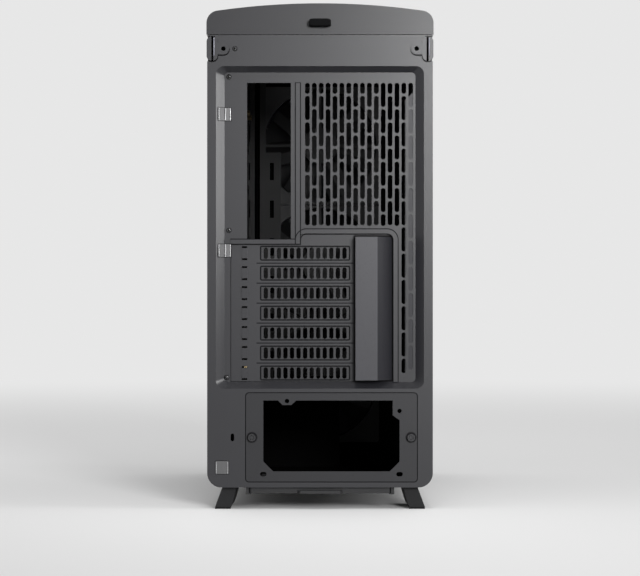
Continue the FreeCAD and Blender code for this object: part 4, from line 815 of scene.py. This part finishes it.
class CASE_OT_plastics(bpy.types.Operator):
    """Plastic, rubber and filter finishes"""

    bl_idname = "case.plastics"
    bl_label = "Finish the plastics"

    def execute(self, context):
        looks = settings()[0]
        colour = looks.plastic_colour
        fan, foot, low = (shade(colour, share) for share in (FAN_SHADE, FOOT_SHADE, FILTER_SHADE))
        dress(moulded_plastic("black_plastic", colour, roughness=0.5), nodes_in_slot("black_plastic"))
        dress(moulded_plastic("fan_plastic", fan, roughness=0.5, gloss=0.3), nodes_in_slot("fan_plastic"))
        dress(moulded_plastic("foot_plastic", foot, roughness=0.6, gloss=0.15), FOOT_NODES)
        dress(moulded_plastic("filter_plastic", low, roughness=0.6, gloss=0.3), LOW_NODES)
        dress(matt_rubber("rubber", looks.rubber_colour), nodes_in_slot("rubber"))
        dress(filter_weave("filter_weave", colour, (0, 1)), nodes_in_slot("filter_mesh"))
        return {"FINISHED"}


class CASE_OT_metals(bpy.types.Operator):
    """Bare metal of clips, ports, stand-offs and screws"""

    bl_idname = "case.metals"
    bl_label = "Finish the metals"

    def execute(self, context):
        looks = settings()[0]
        port = shade(looks.clip_colour, PORT_SHADE)
        clip = brushed_metal("bright_clip", looks.clip_colour, roughness=0.45, stretch=ALONG_Z)
        dress(clip, nodes_in_slot("bright_clip"))
        dress(brushed_metal("port_shell", port, roughness=0.25, stretch=ALONG_X), nodes_in_slot("port_shell"))
        brass = brushed_metal("brass", looks.brass_colour, roughness=0.3, stretch=ALONG_X)
        dress(brass, nodes_in_slot("standoff_brass"))
        dress(black_zinc("black_zinc", looks.plastic_colour), nodes_in_slot("screw_black"))
        return {"FINISHED"}


class CASE_OT_clip_lips(bpy.types.Operator):
    """Rolled lips on the upright edges of the bright clips"""

    bl_idname = "case.clip_lips"
    bl_label = "Make the clip lips"

    def execute(self, context):
        looks, sizes, _ = settings()
        radius = sizes.lip_radius
        lips = []
        for middle, half in node_centres("panel_clips"):
            low, high = middle - half, middle + half
            flat = half[1] < CLIP_FLAT * half[0]
            inner = low[1] if flat else high[1] - sizes.clip_thickness
            lips.append(bead(low[0] + radius, low[1], low[2], high[2], radius))
            lips.append(bead(high[0] - radius, inner, low[2], high[2], radius))
            if not flat:
                lips.append(bead(middle[0] + radius, inner, low[2], high[2], radius))
        # The lips are a lighter copy of the clip steel: a painted highlight on their rolled edges.
        colour = shade(looks.clip_colour, LIP_HIGHLIGHT)
        steel = brushed_metal("clip_lip", colour, roughness=0.4, stretch=ALONG_Z)
        new_piece("clip_lips", *joined(lips), steel, "chassis", "bright_clip", smooth=False)
        return {"FINISHED"}


class CASE_OT_lug_beads(bpy.types.Operator):
    """Rounded bead beside the slit of each side panel's lug"""

    bl_idname = "case.lug_beads"
    bl_label = "Make the lug beads"

    def execute(self, context):
        looks, sizes, _ = settings()
        # The beads' much lighter coat is a painted highlight on their rounded edges.
        bead_highlight = powder_coat("bead_coat", shade(looks.coat_colour, BEAD_HIGHLIGHT), looks.coat_roughness)
        radius = sizes.bead_radius
        low, high = LUG_LEAF[0][1] + LUG_ROUND, LUG_LEAF[1][1] - LUG_DROP
        for side, x, node in zip(("steel", "glass"), (-LUG_SLIT[0], LUG_SLIT[1]), LUG_NODES):
            line = bead(x + radius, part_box(node)[0].y, low, high, radius)
            new_piece(f"{side}_lug_bead", *line, bead_highlight, f"{side}_side", "powder_coat")
        return {"FINISHED"}


class CASE_OT_inner_strips(bpy.types.Operator):
    """Folded cable bar, lip of the grey pillar, and a dark strip behind the steel side's seam that stands in
    for the shade there
    """

    bl_idname = "case.inner_strips"
    bl_label = "Make the inner strips"

    def execute(self, context):
        looks, sizes, _ = settings()
        self.cable_bar(looks, sizes)
        low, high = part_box("rear_pillar")
        corner = low.x - sizes.lip_width, high.y - LIP_SHEET, low.z
        lip = box_shell(corner, (low.x, high.y, high.z - LIP_SHORT))
        coat = pillar_coat("lip_coat", looks)
        new_piece("pillar_lip", *lip, coat, "chassis", "powder_coat", smooth=False)
        # The seam strip is a dark sheet that stands in for the shade seen through the seam.
        (panel, seam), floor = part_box("rear_panel"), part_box("floor_pan")[1].z
        low = panel.x + SEAM_INSET[0], seam.y - SEAM_REACH, floor + SEAM_CLEAR
        high = panel.x + SEAM_INSET[1], seam.y + SEAM_REACH, LUG_LEAF[0][1] - SEAM_REACH
        coat = inner_coat("seam_coat", looks)
        new_piece("seam_strip", *box_shell(low, high), coat, "chassis", "powder_coat", smooth=False)
        return {"FINISHED"}

    def cable_bar(self, looks, sizes):
        """Folded sheet over a grid: the folds give its depth across, the slots and the cut-away are cells
        left out, and the sheet is then made thick."""
        low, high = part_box("cable_bar")
        tall, half = high.z - low.z, sizes.bar_slot / 2
        count = round(tall / sizes.bar_pitch)
        centres = low.z + (np.arange(count) + 0.5) * tall / count
        cut = low.z + round(BAR_CUT_SHARE * count) * tall / count
        edges = np.concatenate([[low.z, cut, high.z], centres - half, centres + half])
        z, across = np.meshgrid(np.unique(edges), BAR_FOLDS[:, 0], indexing="ij")
        points = np.stack([low.x + across, np.broadcast_to(low.y + BAR_FOLDS[:, 1], z.shape), z], -1)
        points, faces = points.reshape(-1, 3), grid_faces(*z.shape)
        middle = points[faces].mean(1)
        u, rise = middle[:, 0] - low.x, middle[:, 2]
        in_row = (np.abs(rise[:, None] - centres) < half).any(1)
        in_slot = np.any([(u > a) & (u < b) for a, b in BAR_SLOTS], axis=0)
        keep = ~(in_row & in_slot) & ~((u > BAR_CUT) & (rise > cut))
        plate = thicken(points, faces[keep], (0, high.y - low.y, 0))
        # The strip behind the slots is a dark sheet that stands in for the shade there.
        (left, near), (right, far) = BAR_SHADE_STRIP
        shade_strip = box_shell((low.x + left, low.y + near, low.z), (low.x + right, low.y + far, cut))
        coat = bar_coat("bar_coat", looks, low)
        new_piece("cable_bar_folded", *joined([plate, shade_strip]), coat, "chassis", "powder_coat",
                  ["cable_bar"], smooth=False)


class CASE_OT_glass(bpy.types.Operator):
    """Dark glass side"""

    bl_idname = "case.glass"
    bl_label = "Glaze the side"

    def execute(self, context):
        looks = settings()[0]
        glass = tinted_glass("tinted_glass", looks.glass_colour, looks.glass_cover)
        dress(glass, nodes_in_slot("tinted_glass"))
        return {"FINISHED"}


class CASE_OT_meshes(bpy.types.Operator):
    """Perforated sheets in the front panel and top cover"""

    bl_idname = "case.meshes"
    bl_label = "Make the meshes"

    def execute(self, context):
        looks, sizes, _ = settings()
        coat = powder_coat("mesh_coat", shade(looks.coat_colour, MESH_SHADE), looks.coat_roughness)
        dress(coat, nodes_in_slot("mesh_sheet"))
        low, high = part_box("front_mesh")
        sheet = high.y - low.y
        self.front(looks, sizes, coat, low, high)
        self.top(sizes, coat, sheet)
        return {"FINISHED"}

    def front(self, looks, sizes, coat, low, high):
        """Flat honeycomb with a box of filter cloth behind it; together they are as thick as the sheet."""
        size, middle = high - low, (low + high) / 2
        skin = sizes.cloth_share * size.y
        points, faces = honeycomb(size.x, size.z, sizes.front_cell, sizes.cell_open, size.y - skin)
        u, v, w = points.T
        points = np.stack([middle.x - u, middle.y + skin / 2 + w, middle.z + v], -1)
        new_piece("front_mesh_cells", points, faces, coat, "front_panel", "mesh_sheet", ["front_mesh"],
                  smooth=False)
        cloth = filter_weave("intake_cloth", looks.plastic_colour, (0, 2))
        points, faces = box_shell(low, (high.x, low.y + CLOTH_FILL * skin, high.z))
        new_piece("front_filter_cloth", points, faces, cloth, "front_panel", "mesh_sheet", smooth=False)

    def top(self, sizes, coat, sheet):
        """Honeycomb bent to a cylinder through the cover's crown: the distance across becomes the angle, and
        the height in the sheet adds to the radius."""
        low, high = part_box("top_mesh")
        size, middle = high - low, (low + high) / 2
        sag = size.z - sheet
        radius = ((size.x / 2) ** 2 + sag ** 2) / (2 * sag)
        points, faces = honeycomb(size.x, size.y, sizes.top_cell, sizes.cell_open, sheet)
        u, v, w = points.T
        reach = radius - sheet / 2 + w
        x, z = middle.x + reach * np.sin(u / radius), high.z - radius + reach * np.cos(u / radius)
        points = np.stack([x, middle.y + v, z], -1)
        new_piece("top_mesh_cells", points, faces, coat, "top_cover", "mesh_sheet", ["top_mesh"],
                  smooth=False)


class CASE_OT_screws(bpy.types.Operator):
    """Knurled thumbscrews and domed screw heads"""

    bl_idname = "case.screws"
    bl_label = "Make the screws"

    def execute(self, context):
        looks, sizes, _ = settings()
        self.thumbscrews(black_zinc("thumbscrew_zinc", shade(looks.plastic_colour, SCREW_SHADE)), sizes)
        colour = shade(looks.clip_colour, SCREW_SHADE)
        self.cross_heads(cross_steel("screw_steel", colour, sizes.dome_height), sizes)
        return {"FINISHED"}

    def cross_heads(self, steel, sizes):
        """Domed heads as a height field over rings and spokes: a parabola that falls to the rim, less a cross
        whose arms have soft edges, and a last ring that drops to the panel."""
        rings, spokes = 20, 72
        angle = np.linspace(0, 2 * math.pi, spokes, endpoint=False)
        a, r = np.meshgrid(angle, np.r_[np.linspace(0, 1, rings), 1.0], indexing="ij")
        u, v = r * np.cos(a), r * np.sin(a)
        arms = [[np.clip((edge - np.abs(way)) / soft, 0, 1)
                 for way, edge, soft in zip(ways, CROSS_ARM, CROSS_SOFT)] for ways in ((u, v), (v, u))]
        recess = np.maximum(*(across * along for across, along in arms))
        rise = sizes.dome_height * (1 - DOME_FALL * r ** 2 - CROSS_DEPTH * recess)
        rise[:, -1] = 0
        quads = grid_faces(*a.shape, wrap_rows=True)
        heads = []
        for (x, y, z), half in node_centres("panel_screws"):
            head = np.stack([x + half[0] * u, y + half[1] - rise, z + half[0] * v], -1)
            heads.append((head.reshape(-1, 3), quads))
        new_piece("panel_screw_heads", *joined(heads), steel, "chassis", "screw_black", ["panel_screws"])

    def thumbscrews(self, zinc, sizes):
        """Lathed heads whose rim ripples with the angle, with a dished end."""
        turns = STEPS_PER_KNURL * sizes.knurl_count
        angle = np.linspace(0, 2 * math.pi, turns, endpoint=False)[:, None]
        heads = []
        for (x, y, z), half in node_centres("psu_thumbscrews"):
            depth = THUMB_KNURLED[None, :] * sizes.knurl_depth / half[0]
            ripple = 1 - depth * (0.5 + 0.5 * np.cos(sizes.knurl_count * angle))
            grid, quads = lathe(THUMB_PROFILE * (half[0], 2 * half[1]), turns, ripple)
            u, v, w = grid.T
            heads.append((np.stack([x + u, y + half[1] - w, z + v], -1), quads))
        new_piece("thumbscrew_heads", *joined(heads), zinc, "chassis", "screw_black", ["psu_thumbscrews"],
                  smooth=False)


class CASE_OT_pull_tab(bpy.types.Operator):
    """Soft-edged rubber tab at the back of the top cover"""

    bl_idname = "case.pull_tab"
    bl_label = "Make the pull tab"

    def execute(self, context):
        """A superellipse carried along the depth; its outer end draws in on a quarter circle."""
        looks, sizes, _ = settings()
        low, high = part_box("pull_tab")
        ease = sizes.tab_edge
        arcs, spokes, power = 9, 64, 2 / 5
        turn = np.linspace(0, math.pi / 2, arcs)
        depth = np.r_[low.y, low.y + ease * (1 - np.cos(turn)), high.y, high.y]
        inset = np.r_[ease, ease * (1 - np.sin(turn)), 0, 0]
        shrink = np.r_[0, np.ones(arcs), 1, 0]
        angle = np.linspace(0, 2 * math.pi, spokes, endpoint=False)[None, :]
        across, along = (np.sign(way) * np.abs(way) ** power for way in (np.cos(angle), np.sin(angle)))
        half = (high - low) / 2
        x = (low.x + high.x) / 2 + across * ((half.x - inset) * shrink)[:, None]
        z = (low.z + high.z) / 2 + along * ((half.z - inset) * shrink)[:, None]
        points = np.stack([x, np.broadcast_to(depth[:, None], x.shape), z], -1)
        rubber = matt_rubber("tab_rubber", shade(looks.rubber_colour, TAB_SHADE), gloss=0.05)
        faces = grid_faces(*x.shape, wrap_columns=True)
        new_piece("pull_tab_soft", points, faces, rubber, "top_cover", "rubber", ["pull_tab"])
        return {"FINISHED"}


class CASE_OT_stage(bpy.types.Operator):
    """Pale floor, soft lamps and the camera"""

    bl_idname = "case.stage"
    bl_label = "Set the stage"

    def execute(self, context):
        stage = settings()[2]
        scene = context.scene
        scene.view_settings.view_transform = "Standard"
        self.world(scene, stage)
        self.floor(stage)
        for name, *setting in LAMPS:
            self.lamp(name, *setting, getattr(stage, f"{name}_power"))
        self.camera(scene, stage)
        return {"FINISHED"}

    def world(self, scene, stage):
        """Even light from all round, the same as the backdrop that the camera sees."""
        world = bpy.data.worlds.new("studio")
        scene.world = world
        world.use_nodes = True
        light = world.node_tree.nodes["Background"]
        light.inputs["Color"].default_value = (stage.backdrop,) * 3 + (1,)

    def floor(self, stage):
        """Flat square floor as a grid; far from the case it takes on the backdrop's brightness where it is
        seen."""
        finish = Finish("studio_floor")
        speck = finish.noise(scale=4.0, detail=2.0)
        finish.surface(Base_Color=finish.shades(speck, stage.floor_colour, dark=0.995, light=1.0),
                       Roughness=0.9, Specular_IOR_Level=0.0)
        x, y = finish.axis(0), finish.axis(1)
        far = 1 - (x * x + y * y).math("SQRT").fade(stage.fade_start, stage.fade_end)
        seen = [finish.node("ShaderNodeLightPath", {}, {}, f"Is {ray} Ray")
                for ray in ("Camera", "Glossy", "Transmission")]
        glow = finish.node("ShaderNodeEmission", {}, {"Color": (stage.backdrop,) * 3 + (1,)})
        finish.lay(far * most_of(seen), glow)
        across = np.linspace(-stage.floor_reach, stage.floor_reach, FLOOR_LINES)
        x, y = np.meshgrid(across, across, indexing="ij")
        mesh = bpy.data.meshes.new("studio_floor")
        points = np.stack([x, y, np.zeros_like(x)], -1)
        mesh.from_pydata(points.reshape(-1, 3).tolist(), [], grid_faces(*x.shape)[:, ::-1].tolist())
        mesh.materials.append(finish.material)
        ground = bpy.data.objects.new("studio_floor", mesh)
        bpy.context.scene.collection.objects.link(ground)

    def lamp(self, name, place, target, size, spread, power):
        """Square soft lamp that looks at target, with its light kept within a spread in degrees."""
        data = bpy.data.lights.new(name, "AREA")
        data.size = size
        data.energy = power
        data.spread = math.radians(spread)
        lamp = bpy.data.objects.new(name, data)
        way = np.array(target) - np.array(place)
        lamp.location = place
        flat = math.hypot(way[0], way[1])
        lamp.rotation_euler = (math.pi / 2 + math.atan2(way[2], flat), 0, math.atan2(-way[0], way[1]))
        bpy.context.scene.collection.objects.link(lamp)

    def camera(self, scene, stage):
        """Level camera behind the case, facing the rear panel."""
        data = bpy.data.cameras.new("photo_camera")
        data.sensor_width = SENSOR_WIDTH
        data.lens = stage.focal_length
        camera = bpy.data.objects.new("photo_camera", data)
        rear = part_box("rear_panel")[0].y
        camera.location = (0, rear - stage.camera_distance, stage.camera_height)
        camera.rotation_euler = (math.pi / 2, 0, 0)
        scene.collection.objects.link(camera)
        scene.camera = camera


class CASE_PT_looks(bpy.types.Panel):
    """Lists the settings and steps of the case's looks"""

    bl_idname = "CASE_PT_looks"
    bl_label = "Computer case"
    bl_space_type = "VIEW_3D"
    bl_region_type = "UI"
    bl_category = "Case"

    def draw(self, context):
        for group in settings():
            box = self.layout.box()
            for name in group.__annotations__:
                box.prop(group, name)
        for step in STEPS:
            self.layout.operator(step.bl_idname)


STEPS = (CASE_OT_steel, CASE_OT_shells, CASE_OT_plastics, CASE_OT_metals, CASE_OT_clip_lips,
         CASE_OT_lug_beads, CASE_OT_inner_strips, CASE_OT_glass, CASE_OT_meshes, CASE_OT_screws,
         CASE_OT_pull_tab, CASE_OT_stage)
CLASSES = (CaseFinishSettings, CasePieceSettings, CaseStageSettings) + STEPS + (CASE_PT_looks,)


def register():
    for item in CLASSES:
        bpy.utils.register_class(item)
    bpy.types.Scene.case_finish = bpy.props.PointerProperty(type=CaseFinishSettings)
    bpy.types.Scene.case_piece = bpy.props.PointerProperty(type=CasePieceSettings)
    bpy.types.Scene.case_stage = bpy.props.PointerProperty(type=CaseStageSettings)


def unregister():
    del bpy.types.Scene.case_stage
    del bpy.types.Scene.case_piece
    del bpy.types.Scene.case_finish
    for item in reversed(CLASSES):
        bpy.utils.unregister_class(item)


def main():
    """Registers the add-on and runs its steps in order."""
    register()
    for step in STEPS:
        group, name = step.bl_idname.split(".")
        getattr(getattr(bpy.ops, group), name)()


if __name__ == "__main__":
    main()
